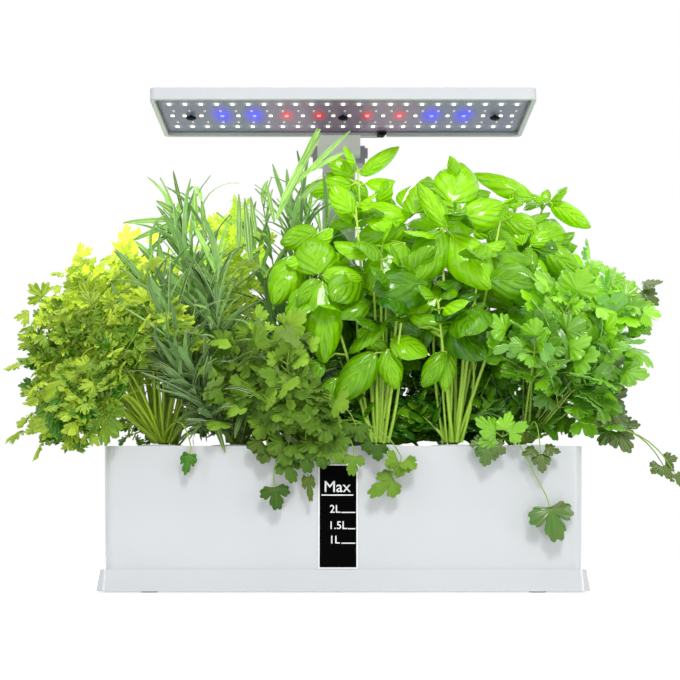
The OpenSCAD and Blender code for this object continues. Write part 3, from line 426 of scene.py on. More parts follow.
def glow_of(tree, near, far, reach):
    """The light round two pairs of diodes, given in steps of the middle row from the lamp's middle."""
    return set_group(tree, glow, Near=near * middle_step, Far=far * middle_step, Reach=reach)["Mask"]


# The board glows in its own colour: painted light of its diodes. Its mauve middle, the pale halo round each
# white diode and the blue and red round the coloured pairs are their light, painted on it.
board, tree, sockets = finish_of("lit_white_board", Roughness=0.45, Emission_Strength=0.9)
place = place_in(tree)
spot = put(tree, "SeparateXYZ", {0: place}).outputs
from_row = figure(tree, "SUBTRACT", off_middle(tree, spot["Y"], row_y), row_pitch)
from_diode = figure(tree, "PINGPONG", spot["X"], diode_pitch / 2)
halo = ramp(tree, far_from(tree, from_diode, from_row), 0.0, halo_reach, 0.62, 0.0, "SMOOTHERSTEP")
lit = mixed(tree, glow_of(tree, 0.5, 2.5, red_spill), shade(78, 90, 112), shade(108, 84, 110))
lit = mixed(tree, halo, lit, shade(215, 218, 222))
lit = mixed(tree, glow_of(tree, 5.5, 7.5, blue_reach), lit, shade(24, 30, 250))
lit = mixed(tree, glow_of(tree, 1.5, 3.5, red_reach), lit, shade(216, 20, 50))

# Small pale dots in rows of their own between the rows of diodes are painted reflections of the diodes in the
# clear cover.
reflection_x, reflection_y = 0.0016, row_y - 0.011
reflection_slimness = 0.4
along = figure(tree, "PINGPONG", figure(tree, "SUBTRACT", spot["X"], reflection_x), diode_pitch / 2)
across = figure(tree, "SUBTRACT", spot["Y"], reflection_y + row_pitch / 2)
across = figure(tree, "SUBTRACT", figure(tree, "WRAP", across, row_pitch, 0.0), row_pitch / 2)
across = figure(tree, "MULTIPLY", across, reflection_slimness)
painted_reflection = ramp(tree, far_from(tree, along, across), 0.0007, 0.0013, 0.8, 0.0)
lit = mixed(tree, painted_reflection, lit, shade(226, 222, 226))
behind_cover = 0.47     # the share of the light that the cover and the tray's shade take
dimmed = mixed(tree, behind_cover, lit, shade(0, 0, 0))

# The board's edges lie in the tray's shadow.
board_low, board_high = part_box("led_board")
rims = []
for axis, low, high in (("X", board_low.x, board_high.x), ("Y", board_low.y, board_high.y)):
    inward = off_middle(tree, spot[axis], (low + high) / 2)
    half = (high - low) / 2
    rims.append(ramp(tree, inward, half - 0.0045, half - 0.001, curve="SMOOTHSTEP"))
dimmed = mixed(tree, figure(tree, "MAXIMUM", *rims), dimmed, shade(22, 24, 30))
feed(tree, sockets, {
    "Base Color": dimmed,
    "Emission Color": dimmed,
    "Normal": bump(tree, noise(tree, place, 1200.0), 0.2, 0.00003)})
dress(board, "led_board")

screws_low, screws_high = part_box("lamp_screws")
shank_end = 1000 * (screws_high.z - screws_low.z)
screw_inset = 0.003     # from the head's edge to its middle
dome = ((0, 0.8), (1.2, 0.7), (1.4, -0.4), (2.6, -0.4), (3.6, 0), (4.2, 0.8), (4.2, 1.5), (1.4, 1.5),
        (1.4, shank_end - 0.6), (0.8, shank_end), (0, shank_end))


def turned(shaped, outline, foot, axis):
    """Turns an outline of radii and heights, in millimetres, about an axis that rises from its foot."""
    points = []
    for radius, height in outline:
        points.append(shaped.verts.new(foot + (Vector((radius, 0, 0)) + axis * height) * 0.001))
    line = points + [shaped.edges.new(pair) for pair in zip(points, points[1:])]
    bmesh.ops.spin(shaped, geom=line, cent=foot, axis=axis, angle=math.tau, steps=32, use_merge=True)


def closed_up(shaped):
    bmesh.ops.remove_doubles(shaped, verts=shaped.verts[:], dist=0.00001)
    bmesh.ops.recalc_face_normals(shaped, faces=shaped.faces[:])


dull_black = moulded("dull_black_nylon", (9, 8, 12), (4, 4, 6), 0.6, Specular_IOR_Level=0.1)
screws = bmesh.new()
for x in (screws_low.x + screw_inset, 0.0, screws_high.x - screw_inset):
    turned(screws, dome, Vector((x, (screws_low.y + screws_high.y) / 2, screws_low.z)), Vector((0, 0, 1)))
closed_up(screws)
for f in screws.faces:
    f.smooth = True
domes = piece_of("dome_screws", mesh_of("dome_screws", screws), dull_black)
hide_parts("lamp_screws")
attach(domes, "lamp")

# The lead leaves the tray through a ribbed boot of the same black nylon, a collar inside the rear wall.
boot_low, boot_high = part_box("cable_grommet")
boot_foot = Vector(((boot_low.x + boot_high.x) / 2, boot_low.y, (boot_low.z + boot_high.z) / 2))
rear_end = 1000 * (boot_high.y - boot_low.y)
ribs = ((0, -1.5), (3.2, -1.5), (4.4, -0.6), (4.4, 2.6), (2.9, 2.6), (2.9, 6.4), (3.6, 6.4), (3.6, 7.4),
        (2.9, 7.4), (2.9, 8.2), (3.4, 8.2), (3.4, 9.1), (2.6, 9.1), (2.6, 10.4), (0, 10.4))
boot = bmesh.new()
turned(boot, [(radius, min(back, rear_end)) for radius, back in ribs], boot_foot, Vector((0, 1, 0)))
closed_up(boot)
lead_boot = piece_of("lead_boot", mesh_of("lead_boot", boot), dull_black)
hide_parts("cable_grommet")
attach(lead_boot, "lamp")


def diode(name, core, rim, power):
    """A lit diode, whose light drifts between two colours with its encapsulant's unevenness."""
    return mottled(name, core, rim, 700.0, 1.0, lit=True, Roughness=0.3, Emission_Strength=power)


dress(diode("white_diode", (255, 255, 250), (255, 244, 214), 1.6), "white_leds")
dress(diode("blue_diode", (130, 150, 255), (40, 60, 255), 2.4), "blue_leds")
dress(diode("red_diode", (255, 150, 150), (255, 40, 60), 2.2), "red_leds")
clear = mottled("clear_polycarbonate", (196, 204, 216), (222, 226, 234), 30.0, 3.0, rough=(0.04, 0.16),
                Alpha=0.03, IOR=1.58)
dress(clear, "lamp_cover")


# ---------------------------------------------------------------- water window
# A black acrylic strip, glued into the front wall, through which the float of the level shows. The scale
# is screen printed on it in white: litres, with a line at each, and the highest level underlined.
black_acrylic = moulded("black_acrylic", (3, 3, 4), (1, 1, 2), 0.16, grain_depth=0.002,
                        Specular_IOR_Level=0.02)
dress(black_acrylic, "water_window")
ink = mottled("white_ink", (250, 250, 250), (228, 230, 232), 2500.0, Roughness=0.5)
window_low, window_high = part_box("water_window")
lean = math.radians(1.89)       # of the tank's front wall
ink_thickness = 0.00004


def printed(name, flat, x, z):
    """Lays a mesh drawn flat on XY against the leaning face of the window, its origin at x and z."""
    up = Vector((0, -math.sin(lean), math.cos(lean)))
    outward = Vector((0, -math.cos(lean), -math.sin(lean)))
    face_y = window_low.y + (window_high.z - z) * math.tan(lean)
    turn = Matrix((Vector((1, 0, 0)), up, outward)).transposed().to_4x4()
    flat.transform(Matrix.Translation((x, face_y - ink_thickness, z)) @ turn)
    mark = piece_of(name, flat, ink)
    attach(mark, "base")


def words(name, said, size, right, low, bold):
    line = bpy.data.curves.new(name, "FONT")
    line.body = said
    line.size = size
    line.align_x = "RIGHT"
    line.extrude = ink_thickness / 2
    line.bevel_depth = bold
    line.bevel_resolution = 0
    line.resolution_u = 3
    held = bpy.data.objects.new(name, line)
    flat = bpy.data.meshes.new_from_object(held)
    bpy.data.objects.remove(held)
    printed(name, flat, right, low)


def rule(name, left, right, z, thick):
    bar = bmesh.new()
    bmesh.ops.create_cube(bar, size=1, matrix=Matrix.Diagonal((right - left, thick, 0.0001, 1)))
    bmesh.ops.bevel(bar, geom=bar.edges[:], offset=0.00002, affect="EDGES", segments=1, profile=0.5,
                    material=-1)
    printed(name, mesh_of(name, bar), (left + right) / 2, z)


window_left, window_right = window_low.x, window_high.x
words("mark_max", "Max", 0.0118, window_right - 0.0041, 0.0738, 0.00008)
rule("line_max", window_left + 0.0012, window_right - 0.0021, 0.0715, 0.0009)
for said, right, z, length in (("2L", 0.0117, 0.0587, 0.0104), ("1.5L", 0.0067, 0.0467, 0.0056),
                               ("1L", 0.0121, 0.0361, 0.0104)):
    tag = said.replace(".", "_")
    words("mark_" + tag, said, 0.0082, window_right - right, z - 0.0002, 0.00007)
    rule("line_" + tag, window_right - 0.0006 - length, window_right - 0.0006, z, 0.0008)


# ---------------------------------------------------------------- the living leaf
# A leaf is a thin closed shell: a flat sheet is extruded to its thickness and then shaped. Each kind of leaf
# is shaped once and planted many times, with a tone of its own and its veins in its face.
veined, takes, gives = group(
    "leaf_face",
    {"Dark": (0, 0.1, 0, 1), "Light": (0, 0.4, 0, 1), "Vein": (0.5, 0.8, 0.2, 1), "Under": (0.4, 0.6, 0.3, 1),
     "Veins": 6.0, "Slant": 1.2, "Rib": 0.08, "Vein mix": 0.5, "Edge mix": 0.0, "Gloss": 0.35,
     "Old": (0.085, 0.14, 0.012, 1)},
    {"Colour": "Color", "Roughness": "Float", "Height": "Float", "Glow": "Color"})
# Side runs from 0 at the midrib to 1 at the edge, and between from 0 on a vein to 0.5 midway to the next.
flat = put(veined, "SeparateXYZ", {0: put(veined, "UVMap", uv_map="leaf").outputs[0]}).outputs
side = figure(veined, "ABSOLUTE", figure(veined, "MULTIPLY_ADD", flat["X"], 2.0, -1.0))
step = figure(veined, "MULTIPLY", flat["Y"], takes["Veins"])
step = figure(veined, "SUBTRACT", step, figure(veined, "MULTIPLY", side, takes["Slant"]))
between = figure(veined, "PINGPONG", step, 0.5)
vein = ramp(veined, between, 0.0, 0.07, 0.3, 0.0, "SMOOTHSTEP")
# Between the side veins the colour is lightened toward the vein colour, by the vein mix, in streaks: painted
# highlights on the quilted face.
painted_streak = ramp(veined, between, 0.2, 0.5, 0.0, 0.45, "SMOOTHSTEP")
painted_streak = figure(veined, "MULTIPLY", painted_streak, figure(veined, "SUBTRACT", 1.0, side))
rib = ramp(veined, side, 0.0, takes["Rib"], 1.0, 0.0, "SMOOTHSTEP")
veins_and_streaks = figure(veined, "MAXIMUM", figure(veined, "MAXIMUM", vein, rib), painted_streak)
rim = figure(veined, "MULTIPLY", ramp(veined, side, 0.72, 0.95), takes["Edge mix"])
marked = figure(veined, "MAXIMUM", figure(veined, "MULTIPLY", veins_and_streaks, takes["Vein mix"]), rim)

place = place_in(veined)
patch = noise(veined, place, 110.0, 3.0)
given_tone = put(veined, "Attribute", attribute_name="tone").outputs["Fac"]
tone = figure(veined, "MULTIPLY_ADD", patch, 0.4, given_tone)
tone = figure(veined, "SUBTRACT", tone, 0.2, use_clamp=True)
aged = ramp(veined, figure(veined, "SUBTRACT", patch, given_tone), 1.2, 1.5)    # a tone of -1 is an old leaf
below = figure(veined, "MULTIPLY", put(veined, "Attribute", attribute_name="below").outputs["Fac"], 0.55)
green = mixed(veined, tone, takes["Dark"], takes["Light"])
green = mixed(veined, aged, green, takes["Old"])
green = mixed(veined, marked, green, takes["Vein"])
green = mixed(veined, below, green, takes["Under"])
gloss = figure(veined, "MULTIPLY_ADD", patch, 0.2, takes["Gloss"])
gloss = figure(veined, "MULTIPLY_ADD", below, 0.35, gloss)
swell = figure(veined, "MULTIPLY", ramp(veined, between, 0.0, 0.42, curve="SMOOTHSTEP"), 0.8)
swell = figure(veined, "MULTIPLY_ADD", rib, -0.45, swell)
swell = figure(veined, "MULTIPLY_ADD", noise(veined, place, 900.0), 0.15, swell)
# The glow is painted light coming through the leaf, in its own green and strongest where its tone is light.
feed(veined, gives, {
    "Colour": green,
    "Glow": mixed(veined, figure(veined, "MULTIPLY", tone, tone), (0, 0, 0, 1), green),
    "Roughness": figure(veined, "SUBTRACT", gloss, 0.1),
    "Height": swell})


def leafy(name, depth, dark, light, vein, under, coat=0.0, specular=0.5, through=0.2, **values):
    """A leaf's skin, its veins' depth in millimetres. The light that would come through it is painted: the
    leaf glows by so much in its own colour.
    """
    look, tree, sockets = finish_of(name, Coat_Weight=coat, Coat_Roughness=0.1, Specular_IOR_Level=specular,
                                    Emission_Strength=through)
    out = set_group(tree, veined, Dark=shade(*dark), Light=shade(*light), Vein=shade(*vein),
                    Under=shade(*under), **values)
    feed(tree, sockets, {
        "Base Color": out["Colour"],
        "Roughness": out["Roughness"],
        "Emission Color": out["Glow"],
        "Normal": bump(tree, out["Height"], 0.9, depth * 0.001)})
    return look


def shell(sheet, name, thick, shaped):
    """Extrudes a flat sheet to its thickness and moves each point to where shaped(point) puts it."""
    sharp = 1.2             # radians between faces from which an edge shows
    below = sheet.verts.layers.float.new("below")
    sheet.verts.layers.float.new("tone")
    lower = bmesh.ops.extrude_face_region(sheet, geom=sheet.faces[:], use_keep_orig=True)["geom"]
    lower = [v for v in lower if isinstance(v, bmesh.types.BMVert)]
    for v in lower:
        v[below] = 1.0
    spots = {v: shaped(v.co.copy()) for v in sheet.verts}
    for v, spot in spots.items():
        v.co = spot
    for v in lower:
        v.co.z -= thick
    bmesh.ops.remove_doubles(sheet, verts=sheet.verts[:], dist=thick * 0.2)
    bmesh.ops.recalc_face_normals(sheet, faces=sheet.faces[:])
    for f in sheet.faces:
        f.smooth = True
    for e in sheet.edges:
        e.smooth = e.verts[0][below] == e.verts[1][below]
        if len(e.link_faces) == 2 and e.smooth:
            e.smooth = e.calc_face_angle(0) < sharp
    return mesh_of(name, sheet)


def long_leaf(name, across, along, profile, bend, thick=0.006):
    """A leaf with a midrib: profile(u, t) gives its half width and its height, bend curls it to its tip."""
    sheet = bmesh.new()
    bmesh.ops.create_grid(sheet, x_segments=across, y_segments=along, size=0.5)
    uv = sheet.loops.layers.uv.new("leaf")
    for f in sheet.faces:
        for corner in f.loops:
            corner[uv].uv = (corner.vert.co.x + 0.5, corner.vert.co.y + 0.5)

    def shaped(point):
        u, t = 2 * point.x, point.y + 0.5
        half, rise = profile(u, t)
        a = bend * t
        run = math.sin(a) / bend
        drop = (1 - math.cos(a)) / bend
        return Vector((u * half, run - rise * math.sin(a) * 0.5, rise * math.cos(a) - drop))

    return shell(sheet, name, thick, shaped)


def fan_leaf(name, pleat, droop, teeth, cleft, nick, spread):
    """A leaflet of three toothed lobes, which spread like a fan: by so many degrees to each side."""
    lobes = 3
    steps = 3               # of a tooth: one low and two high, so that its tip is round
    foot_reach = 0.16       # from the heart, where the lobes meet, back to the foot
    heart = 0.3             # how far up the leaflet that is
    breadth = 0.72
    heart_lift = 0.05
    rim_points = steps * lobes * teeth + 3
    sheet = bmesh.new()
    bmesh.ops.create_circle(sheet, segments=rim_points, radius=1, cap_ends=True, cap_tris=True)
    rim = sorted((v for v in sheet.verts if v.co.length > 0.5), key=lambda v: math.atan2(v.co.x, v.co.y))
    uv = sheet.loops.layers.uv.new("leaf")
    place = {}
    for k, v in enumerate(rim):
        share = (k - 1) / (rim_points - 3)
        a = math.radians(spread) * (2 * share - 1)
        if k in (0, rim_points - 1):
            place[v] = (a, foot_reach, 0.0)
            continue
        lobe = abs(math.sin(math.pi * lobes * share)) ** 0.55
        tip = (k - 1) % steps
        far = (1 - cleft * (1 - lobe)) * (1 if tip else 1 - nick) * (0.78 + 0.22 * math.cos(a))
        place[v] = (a, far, pleat if tip else -pleat)

    def rounded(point):
        return tuple(round(c, 4) for c in point)

    for f in sheet.faces:
        ring = [place[v] for v in f.verts if v in place]
        middle_turn = (ring[0][0] + ring[1][0]) / 2
        for corner in f.loops:
            spot = place.get(corner.vert)
            corner[uv].uv = (1.0, 0.5 + spot[0] / 6.3) if spot else (0.5, 0.5 + middle_turn / 6.3)
    order = {rounded(v.co): place.get(v) for v in sheet.verts}

    def shaped(point):
        spot = order[rounded(point)]
        if not spot:
            return Vector((0, heart, heart_lift))
        a, far, lift = spot
        x, y = breadth * far * math.sin(a), heart + (1 - heart) * far * math.cos(a)
        return Vector((x, y, lift - droop * (x * x * 1.2 + max(y - heart, 0) ** 2)))

    return shell(sheet, name, 0.02, shaped)


# ---------------------------------------------------------------- how a plant stands
# Each plant grows through the hole of its cap from one pod. Its shoots start side by side at the crown,
# bow outward and carry leaves. Stalks are tapered tubes, leaves are planted sheets; both stay with the
# tank. All of it is worked out in millimetres.
pod_pitch = 56
pod_rows = (-37, 15)        # the front row and the rear one
cap_top = 110
crown = 113                 # where the shoots leave the sponge
tallest = 254               # from the caps to the highest leaf

# The room that a plant has: how far it may reach, and what it keeps off on its way.
room_top, room_side, room_front, room_rear = 360, 272, -113, 78
deck_top, deck_rear = 108.5, 34
rear_slope = 0.35           # how far leaves lean out over the deck's rear edge as they rise
mast_side, mast_front = 80, 40
tank_side, tank_front = 184, -70.5
scale_x, scale_side, scale_top = -3, 19, 84     # the marks on the window


def heading(degrees_round, degrees_up):
    a, e = math.radians(degrees_round), math.radians(degrees_up)
    return Vector((math.cos(a) * math.cos(e), math.sin(a) * math.cos(e), math.sin(e)))


def bowed(a, c, b):
    """A curve from a to b that bows toward c, as a function of the share of its way."""
    return lambda t: a * (1 - t) ** 2 + c * 2 * t * (1 - t) + b * t * t


def points_on(curve, steps):
    return [curve(k / steps) for k in range(steps + 1)]


class Plant:
    """One plant as it grows: its leaves in one mesh, and its stalks as lines with a thickness."""

    def __init__(self, name, column, row, seed, lit_over=165, foot_tone=0.08, tip_tone=0.83, steep=1.5):
        self.name = name
        self.lit_over = lit_over    # the height over which its leaves' tone goes from foot to tip
        self.tones = foot_tone, tip_tone - foot_tone, steep     # from dark at 0 to light at 1
        self.pod = Vector((pod_pitch * (column - 2.5), pod_rows[row], 0))
        self.chance = random.Random(seed)
        self.leaves = bmesh.new()
        self.stalks = []
        self.kept_off = lambda p: False     # where it has no leaves of its own accord

    def nudge(self, most):
        return Vector([self.chance.gauss(0, most) for _ in range(3)])

    def shoot(self, side, back, share, arch=0, i=0):
        """A shoot's curve. Its tip is given aside and back from the pod, and up as a share of tallest."""
        turn = math.atan2(back, side) + math.radians(40 * math.sin(3 * i))
        ring = 2.5 + 3.2 * math.sin(2.4 * i) ** 2       # from the middle of the cap's hole
        a = Vector((self.pod.x + ring * math.cos(turn), self.pod.y + ring * math.sin(turn), crown))
        b = Vector((self.pod.x + side, self.pod.y + back, cap_top + share * tallest))
        reach = 0.85 if arch > 20 else 0.5
        c = Vector((a.x + (b.x - a.x) * reach, a.y + (b.y - a.y) * reach, a.z + (b.z - a.z) * 0.5 + arch))
        return bowed(a, c, b)

    def clear(self, p):
        """Whether a point keeps off the tank, the scale, the lamp, the controls and the mast."""
        if p.z > room_top or abs(p.x) > room_side or p.y < room_front:
            return False
        if p.z < crown and abs(p.x) < tank_side and p.y > tank_front:
            return False
        if p.z < scale_top and abs(p.x - scale_x) < scale_side:
            return False
        if self.kept_off(p):
            return False
        rear = deck_rear + rear_slope * (p.z - deck_top)
        return p.y < min(rear, mast_front if abs(p.x) < mast_side else room_rear)

    def stalk(self, points, thick, thin):
        self.stalks.append((points, thick, thin))

    def leaf(self, sheet, foot, way, face, length, width, tone=None):
        """Plants a leaf where there is room for it, and says whether there was."""
        y = way.normalized()
        x = y.cross(face)
        if x.length < 1e-4:
            return False
        x.normalize()
        if not (self.clear(foot + y * length) and self.clear(foot + y * length * 0.5)):
            return False
        z = x.cross(y)
        turn = Matrix((x * width, y * length, z * length)).transposed().to_4x4()
        planted = sheet.copy()
        planted.transform(Matrix.Translation(foot) @ turn)
        # Unless given, a leaf's tone rises with its height: partly the lighter green of young leaves, partly
        # painted light on the top of the plant and painted shade at its foot.
        if tone is None:
            foot_tone, gain, steep = self.tones
            high = min(max((foot.z - crown) / self.lit_over, 0), 1)
            tone = foot_tone + gain * high ** steep + self.chance.uniform(-0.2, 0.3)
        planted.attributes["tone"].data.foreach_set("value", [tone] * len(planted.vertices))
        self.leaves.from_mesh(planted)
        bpy.data.meshes.remove(planted)
        return True

    def lone_leaf(self, sheet, foot, tip, width, tone, sides=0, via=None):
        """A leaf in its own place, on a stalk that bends over to it. Sides is the size of two beside it."""
        foot, tip = Vector(foot), Vector(tip)
        way = tip - foot
        face = Vector((0.1, -1, 0.35))
        if not self.leaf(sheet, foot, way, face, way.length, width, tone):
            return
        start = self.pod + Vector((0, -5, crown))
        if not via:
            before = tank_front - 1.5 if foot.z < crown else (start.y + foot.y) / 2
            via = (start.x + 0.7 * (foot.x - start.x), before, max(foot.z, crown) + 30)
        self.stalk(points_on(bowed(start, Vector(via), foot), 12) + [foot + way * 0.25], 0.8, 0.4)
        for turn in (-68, 68) if sides else ():
            aim = Matrix.Rotation(math.radians(turn + self.chance.gauss(0, 12)), 3, "Y") @ way * sides
            tilt = face + self.nudge(0.3)
            its_tone = tone + self.chance.uniform(-0.1, 0.15)
            self.leaf(sheet, foot, aim, tilt, aim.length, width * sides, its_tone)

    def bare_stems(self, count, apart, lean, low, high):
        """Upright stems side by side in the crown, with no leaf below their tips, which it returns."""
        chance = self.chance
        tips = []
        for i in range(count):
            off = i - (count - 1) / 2
            foot = self.pod + Vector((apart * off, chance.uniform(-4, 3), crown))
            aside = lean * off + chance.gauss(0, 4)
            tip = foot + Vector((aside, chance.uniform(-16, 0), chance.uniform(low, high)))
            bow = Vector((lean * off * 0.25 + chance.gauss(0, 1.5), -3, 0))
            points = [foot.lerp(tip, k / 7) + bow * math.sin(math.pi * k / 7) for k in range(8)]
            self.stalk(points, chance.uniform(0.9, 1.8), 0.9)
            tips.append(tip)
        return tips

    def undergrowth(self, count, sheets, size, slender, high=75, leaves=7, nearest=-22):
        """Short shoots in the shade of the others, which close the view between the stalks."""
        chance = self.chance
        for i in range(count):
            if i % 2:
                side, back = chance.choice((-1, 1)) * chance.uniform(12, 34), chance.uniform(nearest, 14)
                up, arch = chance.uniform(6, 34), 21
            else:
                side, back = chance.uniform(-34, 34), chance.uniform(nearest + 4, 18)
                up, arch = chance.uniform(25, high), 0
            at = self.shoot(side, back, up / tallest, arch, i)
            self.stalk(points_on(at, 5), 0.9, 0.5)
            for k in range(leaves):
                face = Vector([chance.gauss(0, 0.3), -0.7, 0.7])
                sheet = chance.choice(sheets)
                way = heading(chance.uniform(0, 360), chance.uniform(-10, 50))
                length = size * chance.uniform(0.7, 1.2)
                width = size * slender * chance.uniform(0.8, 1.2)
                # Their tone is kept low: painted shade under the canopy.
                tone = chance.uniform(-0.15, 0.4)
                self.leaf(sheet, at(1 - 0.6 * k / leaves), way, face, length, width, tone)

    def tubes(self):
        """All its stalks as one mesh."""
        wires = bpy.data.curves.new(self.name + "_stalks", "CURVE")
        wires.dimensions = "3D"
        wires.bevel_depth = 1.0
        wires.bevel_resolution = 1
        wires.use_fill_caps = True
        for points, thick, thin in self.stalks:
            line = wires.splines.new("POLY")
            line.points.add(len(points) - 1)
            for k, p in enumerate(points):
                line.points[k].co = (*p, 1)
                line.points[k].radius = thick + (thin - thick) * k / (len(points) - 1)
        held = bpy.data.objects.new("wires", wires)
        mesh = bpy.data.meshes.new_from_object(held)
        bpy.data.objects.remove(held)
        for f in mesh.polygons:
            f.use_smooth = True
        return mesh

    def finish(self, leaf_look, stalk_look):
        sheets = piece_of(self.name + "_leaves", mesh_of(self.name + "_leaves", self.leaves), leaf_look)
        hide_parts(self.name)
        for piece in (sheets, piece_of(self.name + "_stalks", self.tubes(), stalk_look)):
            piece.data.transform(Matrix.Scale(0.001, 4))
            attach(piece, "base")


def stalk_skin(name, low, high, gloss):
    """Green skin with fine ribs along it, of another colour at the foot, where less light falls."""
    look, tree, sockets = finish_of(name, Roughness=gloss)
    place = place_in(tree)
    spot = put(tree, "SeparateXYZ", {0: place}).outputs
    height = ramp(tree, spot["Z"], 0.11, 0.24)
    long_way = put(tree, "Mapping", {"Vector": place, "Scale": (1.0, 1.0, 0.08)}).outputs[0]
    ribs = noise(tree, long_way, 1800.0)
    tone = figure(tree, "MULTIPLY_ADD", ribs, 0.4, height)
    tone = figure(tree, "SUBTRACT", tone, 0.2, use_clamp=True)
    feed(tree, sockets, {
        "Base Color": mixed(tree, tone, shade(*low), shade(*high)),
        "Normal": bump(tree, ribs, 0.5, 0.0003)})
    return look


# ---------------------------------------------------------------- basil
# Soft square stems with pairs of opposite, glossy, quilted leaves that cup downward. Each pair stands
# crosswise to the last, and a tuft of young leaves closes each stem.
def basil_profile(waves):
    def profile(u, t):
        half = 0.5 * max(math.sin(math.pi * t ** 0.74), 0) ** 0.64 * (1 - 0.45 * t ** 5)
        hump = 0.07 * (1 - math.exp(-(u / 0.3) ** 2)) - 0.22 * u * u
        quilt = 0.006 * math.sin(2 * math.pi * (5 * t - 2.2 * abs(u)) + 1.6) * (1 - u ** 4) * waves
        ruffle = 0.012 * math.sin(17 * t + 2 * u) * abs(u) ** 3
        fade = math.sin(math.pi * min(max(t, 0.0), 1.0)) ** 0.5
        return half, (hump + quilt * min(abs(u) * 4, 1) + ruffle) * fade
    return profile


basil_sheets = [long_leaf("basil_sheet", 4, 7, basil_profile(0), bend) for bend in (0.35, 0.8, 1.3)]
fine_basil = [long_leaf("fine_basil", 8, 26, basil_profile(1), bend, 0.005) for bend in (0.3, 0.7)]
basil_green = leafy("basil_leaf", 1.1, (26, 100, 0), (158, 232, 0), (206, 250, 84), (120, 184, 30), coat=0.48,
                    specular=0.1, through=0.28, Veins=4.0, Slant=2.2, Rib=0.05, Vein_mix=0.2, Gloss=0.26)
basil_stalk = stalk_skin("basil_stalk", (162, 206, 62), (206, 242, 98), 0.4)
# Each pair of leaves: how far along the stem, how long, and how many degrees it points up.
basil_pairs = (
    (0.42, 34, -48), (0.58, 44, -32), (0.72, 46, -16), (0.84, 38, 0), (0.94, 30, 14), (1.0, 23, 30))
young = 4                   # from this pair on, leaves are flatter and lighter
leafy_from = 205            # the front row's stems are bare below this height
basil_slender = 0.7         # a leaf's width as a share of its length


def grow_basil(name, column, row, seed, shoots, single_leaves):
    plant = Plant(name, column, row, seed)
    chance = plant.chance
    ways = [plant.shoot(*tip, i=i) for i, tip in enumerate(shoots)]
    for i, at in enumerate(ways):
        plant.stalk(points_on(at, 9), 1.7, 0.9)
        for k, (t, length, up) in enumerate(basil_pairs):
            joint = at(t)
            if row == 0 and joint.z < leafy_from:
                continue
            size = length * chance.uniform(0.8, 1.15)
            for half_turn in (0, 180):
                way = heading(90 * k + half_turn + 40 * i + chance.gauss(0, 20), up + chance.gauss(0, 14))
                base = joint + way * size * 0.2 + Vector((0, 0, size * 0.04))
                face = Vector((0, -0.95, 0.7)) + plant.nudge(0.32)
                # Higher leaves get a lighter tone: partly the young leaves' own green, partly painted light
                # above and painted shade below.
                tone = 0.45 * (joint.z - crown) / tallest + chance.uniform(-0.15, 0.35)
                sheet = basil_sheets[chance.randrange(3)] if k < young else basil_sheets[0]
                tone += 0 if k < young else 0.3
                if plant.leaf(sheet, base, way, face, size, size * basil_slender, tone):
                    plant.stalk([joint, joint.lerp(base, 0.5) + Vector((0, 0, 0.6)), base], 0.8, 0.5)
    for foot, tip, width, turn in single_leaves:
        foot, tip = Vector(foot), Vector(tip)
        way = tip - foot
        face = Matrix.Rotation(math.radians(turn), 3, way.normalized()) @ Vector((0.05, -1, 0.4))
        sheet = fine_basil[1 if way.z > -way.length * 0.5 else 0]
        # Higher leaves get a lighter tone: partly the young leaves' own green, partly painted light above and
        # painted shade below.
        high = min(max((tip.z - 160) / 160, 0), 1)
        tone = chance.uniform(0.32, 0.62) + 0.34 * high
        plant.leaf(sheet, foot, way, face, way.length * 1.08, width * 1.12, tone)
        joints = [at(k / 20) for at in ways for k in range(6, 21)]
        joint = min(joints, key=lambda p: (p - foot).length + abs(p.y - foot.y))
        middle = joint.lerp(foot, 0.5) + Vector((0, 0, (foot - joint).length * 0.15))
        plant.stalk([joint, middle, foot, foot + way * 0.04], 0.9, 0.6)
    for i, tip in enumerate([] if row else plant.bare_stems(7, apart=2.2, lean=3.4, low=78, high=120)):
        for turn in (20, 200):
            way = heading(turn + 70 * i, 10)
            size = 24 * chance.uniform(0.7, 1.2)
            plant.leaf(basil_sheets[0], tip + way * 3, way, Vector((0, -0.8, 0.8)), size, 17, 0.2)
    plant.undergrowth(12 if row else 16, basil_sheets, size=17, slender=0.62, nearest=-22 if row else 4)
    if row:
        plant.undergrowth(26, basil_sheets, size=24, slender=0.68, high=160)
    plant.finish(basil_green, basil_stalk)


# A single leaf is given by its foot, its tip, its width and its turn about its own length.
grow_basil("basil_front", column=3, row=0, seed=31, shoots=[
    (2, -14, .6), (-52, 4, .62), (-36, -6, .42), (16, -30, .36), (18, -20, .52), (-18, -2, .74)
], single_leaves=[
    ((-19, -52, 242), (-27, -50, 276), 31, -10), ((-16, -56, 241), (12, -64, 241), 17, 10),
    ((-20, -34, 280), (-49, -38, 273), 19, -20), ((-36, -40, 259), (-52, -52, 223), 25, -10),
    ((-19, -58, 237), (-33, -64, 217), 14, -20), ((-16, -58, 235), (-14, -74, 177), 28, 0),
    ((-31, -46, 233), (-30, -52, 203), 20, -25), ((-15, -58, 173), (-32, -64, 164), 17, 10),
    ((25, -58, 180), (-4, -68, 145), 23, -10), ((33, -60, 182), (40, -66, 154), 17, 5),
    ((36, -58, 190), (63, -68, 186), 26, -20), ((11, -52, 198), (33, -56, 185), 14, 15),
    ((-4, -54, 161), (-19, -60, 142), 14, 0)
])
